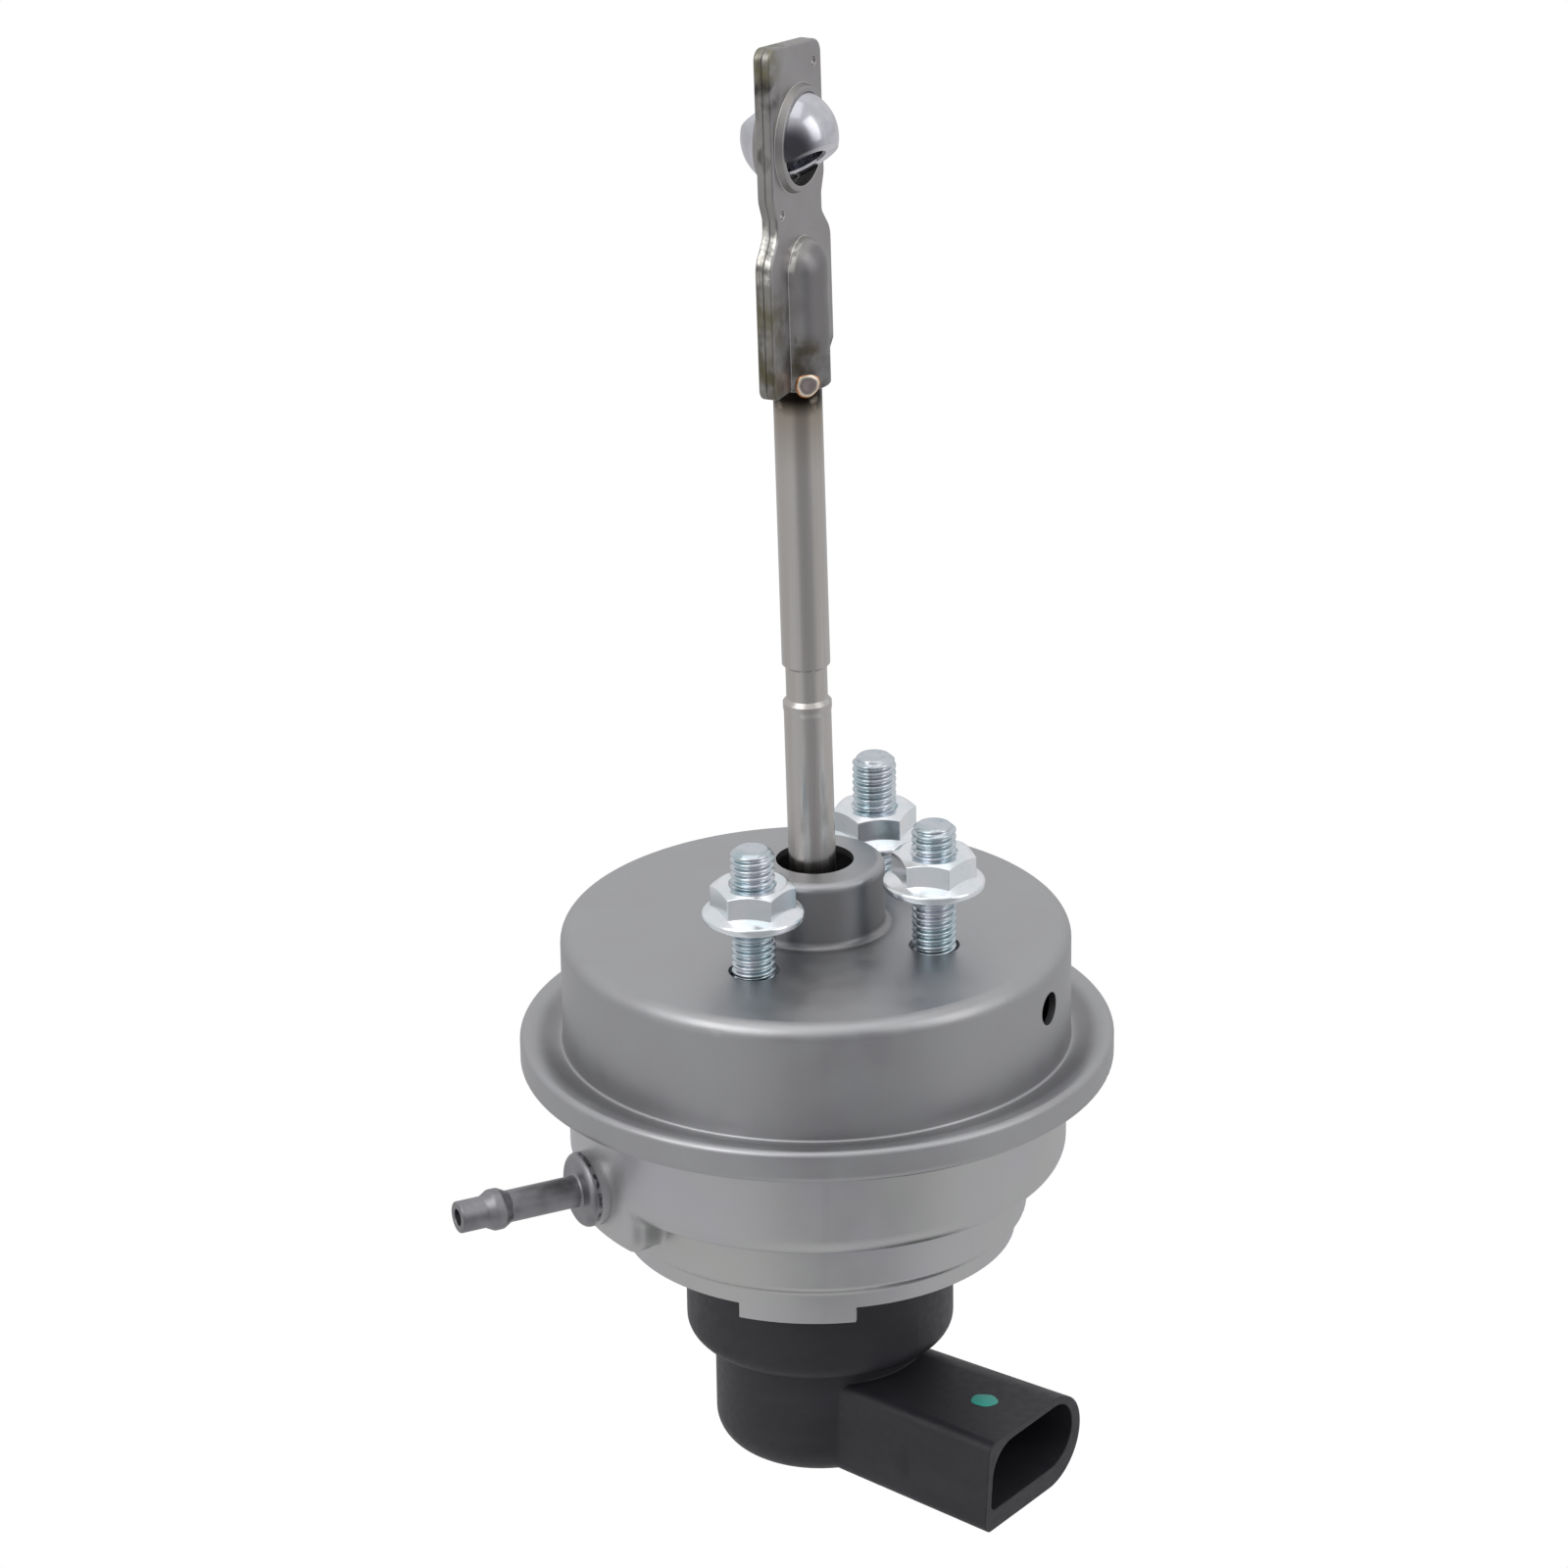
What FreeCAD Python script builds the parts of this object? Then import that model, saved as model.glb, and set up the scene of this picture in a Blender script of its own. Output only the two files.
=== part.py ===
import FreeCAD, Part
import math
import os
from FreeCAD import Vector

os.makedirs("parts", exist_ok=True)

# Vacuum wastegate actuator, in millimetres.
# +Z is the can's axis, with the push rod upward. The origin is the centre of the drum's top face.
# The electrical connector sticks out on the +X side, turned a little towards +Y and downward.

# Drum: the pressed upper half
sheet = 1.0
drum_r = 34.8
drum_corner = 2.2
neck_r = 9.0
neck_height = 9.3
neck_hole_r = 5.3
neck_corner = 2.0
neck_foot_fillet = 2.5
drum_depth = 16.5
vent_r = 2.3
vent_angle = 17.5
vent_drop = 6.5

# Rolled rim that holds the two halves together
rim_flare = 5.9
rim_r = drum_r + rim_flare
rim_bead_rise = 1.1
rim_bead_corner = 1.6
rim_channel_width = 1.9
rim_slope = 1.2
rim_bend = 0.8
rim_lip = 2.9
diaphragm_t = 0.5

# Lower half
can_inset = 0.6
can_r = drum_r - can_inset
can_depth = 34.5
can_corner = 3.0
can_collar = 5.0
belly_step = 5.4
belly_r = can_r - belly_step
belly_bottom = 41.8
belly_corner = 0.9
mouth_step = 1.6
mouth_r = belly_r - mouth_step
mouth_top = 42.8
mouth_bottom = 45.3
tab_width = 15.9
tab_length = 2.2
tab_angle = -53.3
tab_count = 3

# Mounting studs and their nuts
stud_circle_r = 18.0
stud_angles = (-74.0, 16.0, 106.0)
stud_r = 3.0
stud_core_r = 2.8
stud_height = 18.0
stud_chamfer = 0.6
stud_shoulder_r = 3.4
stud_fit = 0.05
stud_head_r = 4.5
stud_head_t = 2.0
stud_plate_t = 2.0
stud_plate_inner_r = 11.5
stud_plate_border = 9.0
stud_plate_outer_r = stud_circle_r + stud_plate_border
nut_heights = (7.6, 8.6, 5.2)
nut_turns = (8.0, 3.0, 20.0)
nut_height = 5.2
nut_across_flats = 10.0
nut_flange_r = 6.9
nut_flange_t = 1.1
nut_flange_rise = 0.9
nut_chamfer = 0.6
nut_play = 0.03

# Hose nipple
nipple_angle = -110.5
nipple_drop = 32.5
nipple_foot_r = 5.2
nipple_foot_length = 2.4
nipple_foot_reach = can_r + nipple_foot_length
nipple_root_depth = 3.0
nipple_pipe_r = 2.2
nipple_bead_r = 2.85
nipple_bead_out = 14.5
nipple_bead_at = can_r + nipple_bead_out
nipple_bead_length = 3.6
nipple_bead_flat = 1.2
nipple_length = 20.0
nipple_reach = can_r + nipple_length
nipple_bore_r = 1.2
bulge_drop = 39.5
bulge_half_angle = 17.0
bulge_overlap = 3.0
bulge_back = 8.8
bulge_back_r = belly_r - bulge_back
bulge_fillet = 2.0

# Piston, diaphragm and spring
piston_gap = 0.3
piston_plate_t = 1.0
piston_plate_r = 20.0
roll_play = 0.7
roll_outer_r = can_r - sheet - roll_play
roll_width = 5.5
roll_depth = 5.5
roll_r = 2.4
diaphragm_play = 0.1
cup_sheet = 1.0
cup_r = roll_outer_r - roll_width
cup_depth = 11.0
cup_corner = 2.0
hub_flange_r = 10.5
hub_flange_t = 1.0
hub_r = 7.5
hub_fit = 0.05
hub_length = 15.5
hub_mouth_r = 6.0
hub_throat_r = 3.9
foot_drop = 4.0
foot_r = 4.5
foot_fit = 0.05
piston_nut_flats = 19.0
piston_nut_t = 4.0
spring_wire_r = 1.5
spring_wall_gap = 5.5
spring_mean_r = cup_r - spring_wall_gap
spring_half_turns = 9
spring_fit = 0.02
spring_seat_t = 1.0
spring_seat_lip = 2.4
spring_seat_play = 0.8
spring_seat_margin = 1.2

# Push rod
lower_rod_r = 3.2
shoulder_r = 3.3
shoulder_top = 33.0
shoulder_length = 1.4
shoulder_chamfer = 0.6
rod_neck_r = 2.8
rod_neck_overlap = 14.0
sleeve_r = 3.25
sleeve_bottom = 37.5
sleeve_chamfer = 0.4
sleeve_fit = 0.03
sleeve_end_round = 1.2
rod_lean = 1.0
rod_lean_heading = -136.5

# Clevis: two stamped plates back to back, and the ball between them
plate_t = 1.2
plate_angle = 18.5
plate_bottom = 77.5
plate_top_near = 124.5
plate_top_far = 122.0
head_half_width = 7.8
waist_half_width = 6.8
waist_at = 100.3
waist_length = 2.4
head_shoulder_at = 104.0
foot_shoulder_at = 96.0
foot_shoulder_r = 3.5
foot_half_width = 9.3
plate_corner_r = 1.6
plate_corner_cut = 3.3
plate_cut_r = 0.6
plate_far_corner_r = 2.2
head_shoulder_r = 2.5
plate_edge_r = 0.35
plate_seam_r = 0.15
channel_top = 97.6
channel_fit = 0.03
clinch_r = 0.7
clinch_depth = 0.5
clinch_offset = (5.4, 8.8)
ball_at = 110.7
ball_r = 6.4
ball_fit = 0.08
ball_half_width = 3.9
ball_bore_r = 3.0
ball_bore_chamfer = 0.3
ball_heading = -4.0
ball_dip = 51.0
socket_outer_r = 7.2
socket_rim_r = 6.75
socket_height = 2.2
weld_r = 1.5
weld_sink = 0.6
weld_angle = 42.0
weld_at = 77.6

# Sensor housing and connector
housing_play = 0.1
plug_top = 41.8
collar_r = 18.6
collar_bottom = 61.5
collar_fillet = 2.5
base_r = 14.7
base_bottom = 78.5
base_fillet = 4.7
collar_wall = 2.2
collar_inner_r = collar_r - collar_wall
collar_floor = 56.0
well_r = 6.2
well_floor = 72.0
seal_r = 0.9
seal_squeeze = 0.1
connector_drop = 69.9
connector_heading = 8.2
connector_dip = 3.4
arm_root = 4.0
arm_width_draft = 1.4
arm_height_draft = 0.2
socket_reach = 35.8
socket_half_width = 11.6
socket_half_height = 7.05
socket_corner = 1.6
socket_near_wall = 1.2
socket_far_wall = 2.1
socket_top_wall = 1.1
socket_bottom_wall = 3.1
opening_bottom_corner = 1.2
opening_top_corner = 4.5
opening_depth = 14.0
pin_pitch = 4.6
pin_width = 1.5
pin_thickness = 0.8
pin_tip = 5.7
pin_point = 0.25
board_x = 8.8
board_t = 1.6
board_half_width = 5.8
board_top = 53.0
board_bottom = 73.0
board_play = 0.2
chip_t = 1.1
chip_half_width = 2.2
chip_top = 60.0
chip_bottom = 65.0
carrier_shoulder_r = 7.0
carrier_shoulder_t = 2.0
carrier_stem_r = 4.0
carrier_neck_at = 46.0
carrier_neck_slope = 1.5
carrier_head_r = 5.0
carrier_bottom = 58.0
magnet_r = 3.5
magnet_length = 8.0
magnet_inset = 0.4

# Heights that follow from the sizes above
rim_bottom = -drum_depth - 3.0 * sheet - diaphragm_t
clamp_top = -drum_depth - sheet
can_flange_top = clamp_top - diaphragm_t
stud_head_bottom = -sheet - stud_plate_t - stud_head_t
hub_top = stud_head_bottom + hub_flange_t - piston_gap
plate_disc_top = hub_top - hub_flange_t
diaphragm_top = plate_disc_top - piston_plate_t
crown_top = diaphragm_top - diaphragm_t
foot_z = crown_top - foot_drop
hub_bottom = hub_top - hub_length
pin_reach = socket_reach - pin_tip
plug_r = mouth_r - sheet - housing_play
seal_z = -(plug_top + mouth_bottom) / 2.0
cup_bottom = crown_top - cup_depth
socket_z = -connector_drop
opening_near = -socket_half_width + socket_near_wall
opening_far = socket_half_width - socket_far_wall
opening_low = socket_z - socket_half_height + socket_bottom_wall
opening_high = socket_z + socket_half_height - socket_top_wall
pin_middle = (opening_near + opening_far) / 2.0
pin_z = (opening_low + opening_high) / 2.0
UP = Vector(0, 0, 1)
FOOT = Vector(0, 0, foot_z)


def heading(angle, distance=1.0):
    """A horizontal vector at an angle in degrees from +X."""
    turn = math.radians(angle)
    return Vector(distance * math.cos(turn), distance * math.sin(turn), 0)


def rounded_wire(corners):
    """A closed wire in the XZ plane through (x, z, radius) corners, each rounded by its radius."""
    edges = []
    count = len(corners)
    starts, ends, middles = [], [], []
    for i in range(count):
        here = Vector(corners[i][0], 0, corners[i][1])
        back = Vector(corners[i - 1][0], 0, corners[i - 1][1]) - here
        ahead = Vector(corners[(i + 1) % count][0], 0, corners[(i + 1) % count][1]) - here
        radius = corners[i][2]
        half = back.getAngle(ahead) / 2.0
        if radius == 0 or abs(half - math.pi / 2.0) < 1e-6:
            starts.append(here)
            ends.append(here)
            middles.append(None)
            continue
        back.normalize()
        ahead.normalize()
        reach = radius / math.tan(half)
        bisector = back + ahead
        bisector.normalize()
        centre = here + bisector * (radius / math.sin(half))
        starts.append(here + back * reach)
        ends.append(here + ahead * reach)
        middles.append(centre - bisector * radius)
    for i in range(count):
        if middles[i] is not None:
            edges.append(Part.Arc(starts[i], middles[i], ends[i]).toShape())
        following = starts[(i + 1) % count]
        if ends[i].distanceToPoint(following) > 1e-6:
            edges.append(Part.makeLine(ends[i], following))
    return Part.Wire(edges)


def turned(corners):
    """A solid of revolution about Z from (radius, z, rounding) corners."""
    face = Part.Face(rounded_wire(corners))
    return face.revolve(Vector(0, 0, 0), UP, 360)


def offset_path(path, thickness):
    """The same open path, moved to its right by a thickness, with its bend radii to suit."""
    normals = []
    for (x0, z0, _), (x1, z1, _) in zip(path, path[1:]):
        length = math.hypot(x1 - x0, z1 - z0)
        normals.append(((z1 - z0) / length, -(x1 - x0) / length))
    moved = []
    for i, (x, z, radius) in enumerate(path):
        before = normals[max(i - 1, 0)]
        after = normals[min(i, len(normals) - 1)]
        share = thickness / (1.0 + before[0] * after[0] + before[1] * after[1])
        turn = before[0] * after[1] - before[1] * after[0]
        bend = radius + thickness if turn > 0 else max(radius - thickness, 0.0)
        moved.append((x + (before[0] + after[0]) * share, z + (before[1] + after[1]) * share,
                      bend if radius else 0.0))
    return moved


def pressed(path, thickness):
    """A pressed sheet: a path of (radius, z, bend) turned about Z, with its metal on the right."""
    return turned(list(path) + offset_path(path, thickness)[::-1])


def along(angle, z, shape):
    """Lay a shape that was made along +Z out along a horizontal heading at a height."""
    shape = shape.copy()
    shape.rotate(Vector(0, 0, 0), Vector(0, 1, 0), 90)
    shape.rotate(Vector(0, 0, 0), UP, angle)
    shape.translate(Vector(0, 0, z))
    return shape


def lean(shape):
    """Tip a piece of the push rod about the ball foot, the way the free rod hangs."""
    shape = shape.copy()
    shape.rotate(FOOT, UP.cross(heading(rod_lean_heading)), rod_lean)
    return shape


def make_upper_can():
    bead_top = -drum_depth + rim_bead_rise
    channel_end = drum_r + rim_channel_width
    body = pressed([
        (neck_hole_r, neck_height, 0),
        (neck_r, neck_height, neck_corner),
        (neck_r, 0, neck_foot_fillet),
        (drum_r, 0, drum_corner),
        (drum_r, -drum_depth, rim_bend),
        (channel_end, -drum_depth, rim_bend),
        (channel_end + rim_slope, bead_top, rim_bend),
        (rim_r, bead_top, rim_bead_corner),
        (rim_r, rim_bottom, sheet + 0.1),
        (rim_r - rim_lip, rim_bottom, 0)], sheet)
    for angle in stud_angles:
        body = body.cut(Part.makeCylinder(stud_shoulder_r + stud_fit, 3.0 * sheet,
                                          heading(angle, stud_circle_r) - UP * 2.0 * sheet))
    vent = along(vent_angle, -vent_drop, Part.makeCylinder(vent_r, drum_r + sheet))
    return body.cut(vent)


def bulge(inset):
    """The block of can wall that reaches lower, round the nipple, or its inside when inset."""
    top = -can_depth + can_corner + bulge_overlap
    radius = can_r - inset
    bottom = -bulge_drop + inset
    half_angle = bulge_half_angle - math.degrees(inset / can_r)
    profile = rounded_wire([(bulge_back_r, top, 0), (radius, top, 0),
                            (radius, bottom, bulge_fillet - inset), (bulge_back_r, bottom, 0)])
    block = Part.Face(profile).revolve(Vector(0, 0, 0), UP, 2.0 * half_angle)
    corners = [edge for edge in block.Edges
               if abs(edge.BoundBox.ZLength - (top - bottom - bulge_fillet + inset)) < 1e-3
               and math.hypot(edge.Vertexes[0].X, edge.Vertexes[0].Y) > radius - 1e-3]
    block = block.makeFillet(bulge_fillet - inset / 2.0, corners)
    block.rotate(Vector(0, 0, 0), UP, nipple_angle - half_angle)
    return block


def can_outline(inset):
    """Solid bounded by the lower can's outer face, or by its inner face when inset by the sheet."""
    path = [(can_r, can_flange_top, 0),
            (can_r, -can_depth, can_corner),
            (belly_r, -can_depth, 0.6),
            (belly_r, -belly_bottom, belly_corner),
            (mouth_r, -mouth_top, belly_corner),
            (mouth_r, -mouth_bottom - tab_length, 0)]
    if inset:
        path = offset_path(path, inset)
    return turned([(0, path[0][1], 0)] + path + [(0, path[-1][1], 0)])


def make_lower_can():
    """Stepped can with a flange, a bulge at the nipple and three tabs round its mouth."""
    outer = can_outline(0).fuse(bulge(0))
    inner = can_outline(sheet).fuse(bulge(sheet))
    shell = outer.cut(inner)
    flange_bottom = can_flange_top - sheet
    flange = pressed([(rim_r - 1.3 * sheet, flange_bottom, 0),
                      (can_r, flange_bottom, 1.2 * sheet),
                      (can_r, flange_bottom - can_collar, 0)], sheet)
    shell = shell.cut(Part.makeCylinder(rim_r, can_collar, UP * (flange_bottom - can_collar + sheet)))
    shell = shell.fuse(flange)
    skirt_drop = -mouth_bottom - tab_length - sheet
    skirt = Part.makeCylinder(mouth_r + sheet, tab_length + sheet, UP * skirt_drop)
    for i in range(tab_count):
        tab = Part.makeBox(mouth_r + 2.0 * sheet, tab_width, tab_length + sheet,
                           Vector(0, -tab_width / 2.0, skirt_drop))
        tab.rotate(Vector(0, 0, 0), UP, tab_angle + i * 360.0 / tab_count)
        skirt = skirt.cut(tab)
    shell = shell.cut(skirt)
    shell = shell.cut(along(nipple_angle, -nipple_drop, Part.makeCylinder(nipple_pipe_r, nipple_reach)))
    return shell.removeSplitter()


def make_stud_plate():
    plate = turned([(stud_plate_inner_r, -sheet, 0), (stud_plate_outer_r, -sheet, 0),
                    (stud_plate_outer_r, -sheet - stud_plate_t, 0.5),
                    (stud_plate_inner_r, -sheet - stud_plate_t, 0.5)])
    for angle in stud_angles:
        below = heading(angle, stud_circle_r) - UP * (sheet + stud_plate_t + 1.0)
        plate = plate.cut(Part.makeCylinder(stud_shoulder_r, stud_plate_t + 2.0, below))
    return plate


def make_stud(angle, nut_bottom):
    """A pressed-in stud: full size from the drum's face to its nut, then the thread's core size."""
    head_top = -sheet - stud_plate_t
    stud = turned([(0, stud_head_bottom, 0), (stud_head_r, stud_head_bottom, 0.4),
                   (stud_head_r, head_top, 0), (stud_shoulder_r, head_top, 0),
                   (stud_shoulder_r, -stud_fit, 0), (stud_r, -stud_fit, 0), (stud_r, nut_bottom, 0),
                   (stud_core_r, nut_bottom, 0), (stud_core_r, stud_height - stud_chamfer, 0),
                   (stud_core_r - stud_chamfer, stud_height, 0), (0, stud_height, 0)])
    stud.translate(heading(angle, stud_circle_r))
    return stud


def hexagon(across_flats, height):
    points = [heading(30 + 60 * i, across_flats / math.sqrt(3)) for i in range(7)]
    return Part.Face(Part.makePolygon(points)).extrude(UP * height)


def make_flange_nut(angle, turn, bottom):
    corner_r = nut_across_flats / math.sqrt(3)
    hexagonal = hexagon(nut_across_flats, nut_height)
    top_cone = turned([(0, 0, 0), (nut_flange_r, 0, 0), (nut_flange_r, nut_flange_t, 0),
                       (corner_r, nut_height - nut_chamfer, 0),
                       (corner_r - 2.0 * nut_chamfer, nut_height, 0), (0, nut_height, 0)])
    flange_top = nut_flange_t + nut_flange_rise
    flange = turned([(0, 0, 0), (nut_flange_r, 0, nut_flange_t * 0.4),
                     (nut_flange_r, nut_flange_t, nut_flange_t * 0.45),
                     (nut_across_flats / 2.0, flange_top, 0), (0, flange_top, 0)])
    bore_r = stud_core_r + nut_play
    sink_depth = stud_r + 0.3 - bore_r
    bore = Part.makeCylinder(bore_r, nut_height)
    sink = Part.makeCone(bore_r, bore_r + sink_depth, sink_depth, UP * (nut_height - sink_depth))
    nut = hexagonal.common(top_cone).fuse(flange).cut(bore).cut(sink)
    nut.rotate(Vector(0, 0, 0), UP, turn)
    nut.translate(heading(angle, stud_circle_r) + UP * bottom)
    return nut


def make_hose_nipple():
    """Foot, pipe, bead and tip in one turned piece, its foot cut to the can's round wall."""
    half = nipple_bead_length / 2.0
    flat = nipple_bead_flat / 2.0
    root = can_r - nipple_root_depth
    body = turned([(0, root, 0), (nipple_pipe_r, root, 0), (nipple_pipe_r, root + sheet, 0),
                   (nipple_foot_r, root + sheet, 0),
                   (nipple_foot_r, nipple_foot_reach, 1.0), (nipple_pipe_r, nipple_foot_reach, 0.4),
                   (nipple_pipe_r, nipple_bead_at - half, 0.6), (nipple_bead_r, nipple_bead_at - flat, 0.8),
                   (nipple_bead_r, nipple_bead_at + flat, 0.8), (nipple_pipe_r, nipple_bead_at + half, 0.6),
                   (nipple_pipe_r, nipple_reach, 0.2), (0, nipple_reach, 0)])
    body = body.cut(Part.makeCylinder(nipple_bore_r, nipple_reach + 1.0))
    body = along(nipple_angle, -nipple_drop, body)
    wall = Part.makeCylinder(can_r, can_depth, UP * -(can_depth + can_corner + nipple_foot_r))
    passage = along(nipple_angle, -nipple_drop, Part.makeCylinder(nipple_pipe_r, nipple_reach))
    return body.cut(wall.cut(passage))


def make_diaphragm():
    wrap_r = cup_r + diaphragm_t + diaphragm_play
    return pressed([
        (hub_r + diaphragm_play, diaphragm_top, 0),
        (wrap_r, diaphragm_top, cup_corner + diaphragm_t),
        (wrap_r, clamp_top - roll_depth, roll_r),
        (roll_outer_r, clamp_top - roll_depth, roll_r),
        (roll_outer_r, clamp_top, roll_r),
        (rim_r - 1.5 * sheet, clamp_top, 0)], diaphragm_t)


def make_piston_cup():
    return pressed([
        (hub_r + hub_fit, crown_top, 0),
        (cup_r, crown_top, cup_corner),
        (cup_r, cup_bottom, 0)], cup_sheet)


def make_diaphragm_plate():
    return turned([(hub_r + hub_fit, diaphragm_top, 0), (piston_plate_r, diaphragm_top, 0.3),
                   (piston_plate_r, plate_disc_top, 0.3), (hub_r + hub_fit, plate_disc_top, 0)])


def make_piston_hub():
    body = turned([(0, hub_top, 0), (hub_flange_r, hub_top, 0.3), (hub_flange_r, plate_disc_top, 0),
                   (hub_r, plate_disc_top, 0), (hub_r, hub_bottom, 0.3), (0, hub_bottom, 0)])
    seat_r = foot_r + foot_fit
    throat_z = foot_z + math.sqrt(seat_r ** 2 - hub_throat_r ** 2)
    mouth = turned([(0, throat_z - 1.0, 0), (hub_throat_r, throat_z - 1.0, 0),
                    (hub_throat_r, throat_z + 0.4, 0), (hub_mouth_r, hub_top + 0.5, 0),
                    (0, hub_top + 0.5, 0)])
    body = body.cut(mouth)
    body = body.cut(Part.makeSphere(seat_r, FOOT))
    return body.cut(Part.makeCylinder(seat_r, foot_z - hub_bottom, UP * hub_bottom))


def make_piston_nut():
    nut = hexagon(piston_nut_flats, piston_nut_t)
    nut = nut.cut(Part.makeCylinder(hub_r + hub_fit, piston_nut_t))
    nut.translate(UP * (crown_top - cup_sheet - piston_nut_t))
    return nut


def make_return_spring():
    """A coil of half turns: each is half a torus, tipped so that it climbs half the pitch."""
    bottom = -plug_top + spring_seat_t + spring_wire_r + spring_fit
    top = crown_top - cup_sheet - spring_wire_r - spring_fit
    rise = (top - bottom) / spring_half_turns
    reach = math.hypot(spring_mean_r, rise / 2.0)
    tilt = math.degrees(math.atan2(rise / 2.0, spring_mean_r))
    turns = []
    for i in range(spring_half_turns):
        arc = Part.makeTorus(reach, spring_wire_r, Vector(0, 0, 0), UP, -180, 180, 180)
        arc.rotate(Vector(0, 0, 0), Vector(0, 1, 0), tilt)
        arc.rotate(Vector(0, 0, 0), UP, 180 * (i % 2))
        arc.translate(UP * (bottom + rise * (i + 0.5)))
        turns.append(arc)
    return turns[0].fuse(turns[1:])


def make_spring_seat():
    seat_top = -plug_top + spring_seat_t
    outer = mouth_r - sheet - spring_seat_margin
    lip_r = spring_mean_r - spring_wire_r - spring_seat_play
    inner = lip_r - spring_seat_t
    return turned([(inner, -plug_top, 0), (outer, -plug_top, 0.2), (outer, seat_top, 0.2),
                   (lip_r, seat_top, 0.4), (lip_r, seat_top + spring_seat_lip, 0.2),
                   (inner, seat_top + spring_seat_lip, 0.2)])


def make_piston_rod():
    """Ball foot, shank, shoulder and the thin neck that goes up into the sleeve."""
    neck_top = sleeve_bottom + rod_neck_overlap
    shank = turned([(0, foot_z, 0), (lower_rod_r, foot_z, 0),
                    (lower_rod_r, shoulder_top - shoulder_length - shoulder_chamfer, 0),
                    (shoulder_r, shoulder_top - shoulder_length, 0),
                    (shoulder_r, shoulder_top - shoulder_chamfer, 0),
                    (shoulder_r - shoulder_chamfer + 0.1, shoulder_top, 0),
                    (rod_neck_r, shoulder_top, 0), (rod_neck_r, neck_top, 0.3), (0, neck_top, 0)])
    return lean(shank.fuse(Part.makeSphere(foot_r, FOOT)))


def make_rod_sleeve():
    top = channel_top - sleeve_r - plate_t + sleeve_end_round
    bore_top = sleeve_bottom + rod_neck_overlap + 1.0
    bore_r = rod_neck_r + sleeve_fit
    sleeve = turned([(bore_r, sleeve_bottom, 0), (sleeve_r - sleeve_chamfer, sleeve_bottom, 0),
                     (sleeve_r, sleeve_bottom + sleeve_chamfer, 0), (sleeve_r, top, sleeve_end_round),
                     (0, top, 0), (0, bore_top, 0), (bore_r, bore_top, 0)])
    return lean(sleeve)


def to_clevis(shape):
    """Turn a shape made with its plate normal along +X to the clevis's heading, and lean it."""
    shape = shape.copy()
    shape.rotate(Vector(0, 0, 0), UP, plate_angle)
    return lean(shape)


def plate_outline():
    """The stamped outline, in the YZ plane, as a wire with rounded corners."""
    corners = [(-foot_half_width, plate_bottom, plate_corner_r),
               (foot_half_width - plate_corner_cut, plate_bottom, plate_cut_r),
               (foot_half_width, plate_bottom + plate_corner_cut, plate_cut_r),
               (foot_half_width, foot_shoulder_at, foot_shoulder_r),
               (waist_half_width, waist_at - waist_length / 2.0, plate_corner_r),
               (waist_half_width, waist_at + waist_length / 2.0, plate_corner_r),
               (head_half_width, head_shoulder_at, head_shoulder_r),
               (head_half_width, plate_top_far, plate_far_corner_r),
               (-head_half_width, plate_top_near, plate_corner_r),
               (-head_half_width, head_shoulder_at, head_shoulder_r),
               (-waist_half_width, waist_at + waist_length / 2.0, plate_corner_r),
               (-waist_half_width, waist_at - waist_length / 2.0, plate_corner_r),
               (-foot_half_width, foot_shoulder_at, foot_shoulder_r)]
    wire = rounded_wire(corners)
    wire.rotate(Vector(0, 0, 0), UP, 90)
    return wire


def make_clevis_plate():
    """One stamped plate: flat sheet, ball socket ring and rod channel, on the +X side of X = 0."""
    flat = Part.Face(plate_outline()).extrude(Vector(plate_t, 0, 0))
    outer_rim = [edge for edge in flat.Edges if edge.BoundBox.XMin > plate_t - 1e-3]
    flat = flat.makeFillet(plate_edge_r, outer_rim)
    inner_rim = [edge for edge in flat.Edges if edge.BoundBox.XMax < 1e-3]
    flat = flat.makeFillet(plate_seam_r, inner_rim)
    centre = UP * ball_at
    ring = turned([(0, 0, 0), (socket_outer_r, 0, 0), (socket_outer_r, plate_t, 0),
                   (socket_rim_r, socket_height, 0.3), (0, socket_height, 0)])
    ring.rotate(Vector(0, 0, 0), Vector(0, 1, 0), 90)
    ring.translate(centre)
    channel_r = sleeve_r + plate_t
    channel_mid = channel_top - channel_r
    channel = Part.makeCylinder(channel_r, channel_mid - plate_bottom, UP * plate_bottom)
    channel = channel.fuse(Part.makeSphere(channel_r, UP * channel_mid))
    half_space = Part.makeBox(channel_r, 2.0 * channel_r, channel_top - plate_bottom,
                              Vector(0, -channel_r, plate_bottom))
    plate = flat.fuse(ring).fuse(channel.common(half_space))
    plate = plate.cut(Part.makeSphere(ball_r + ball_fit, centre))
    inner_r = sleeve_r + channel_fit
    hollow = Part.makeCylinder(inner_r, channel_mid - plate_bottom + 1.0, UP * (plate_bottom - 1.0))
    plate = plate.cut(hollow.fuse(Part.makeSphere(inner_r, UP * channel_mid)))
    pit_x = plate_t + clinch_r - clinch_depth
    for side in (1, -1):
        pit = centre + Vector(pit_x, side * clinch_offset[0], side * clinch_offset[1])
        plate = plate.cut(Part.makeSphere(clinch_r, pit))
    return plate.removeSplitter()


def make_front_clevis_plate():
    return to_clevis(make_clevis_plate())


def make_rear_clevis_plate():
    rear = make_clevis_plate().mirror(Vector(0, 0, 0), Vector(1, 0, 0))
    return to_clevis(rear)


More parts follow.
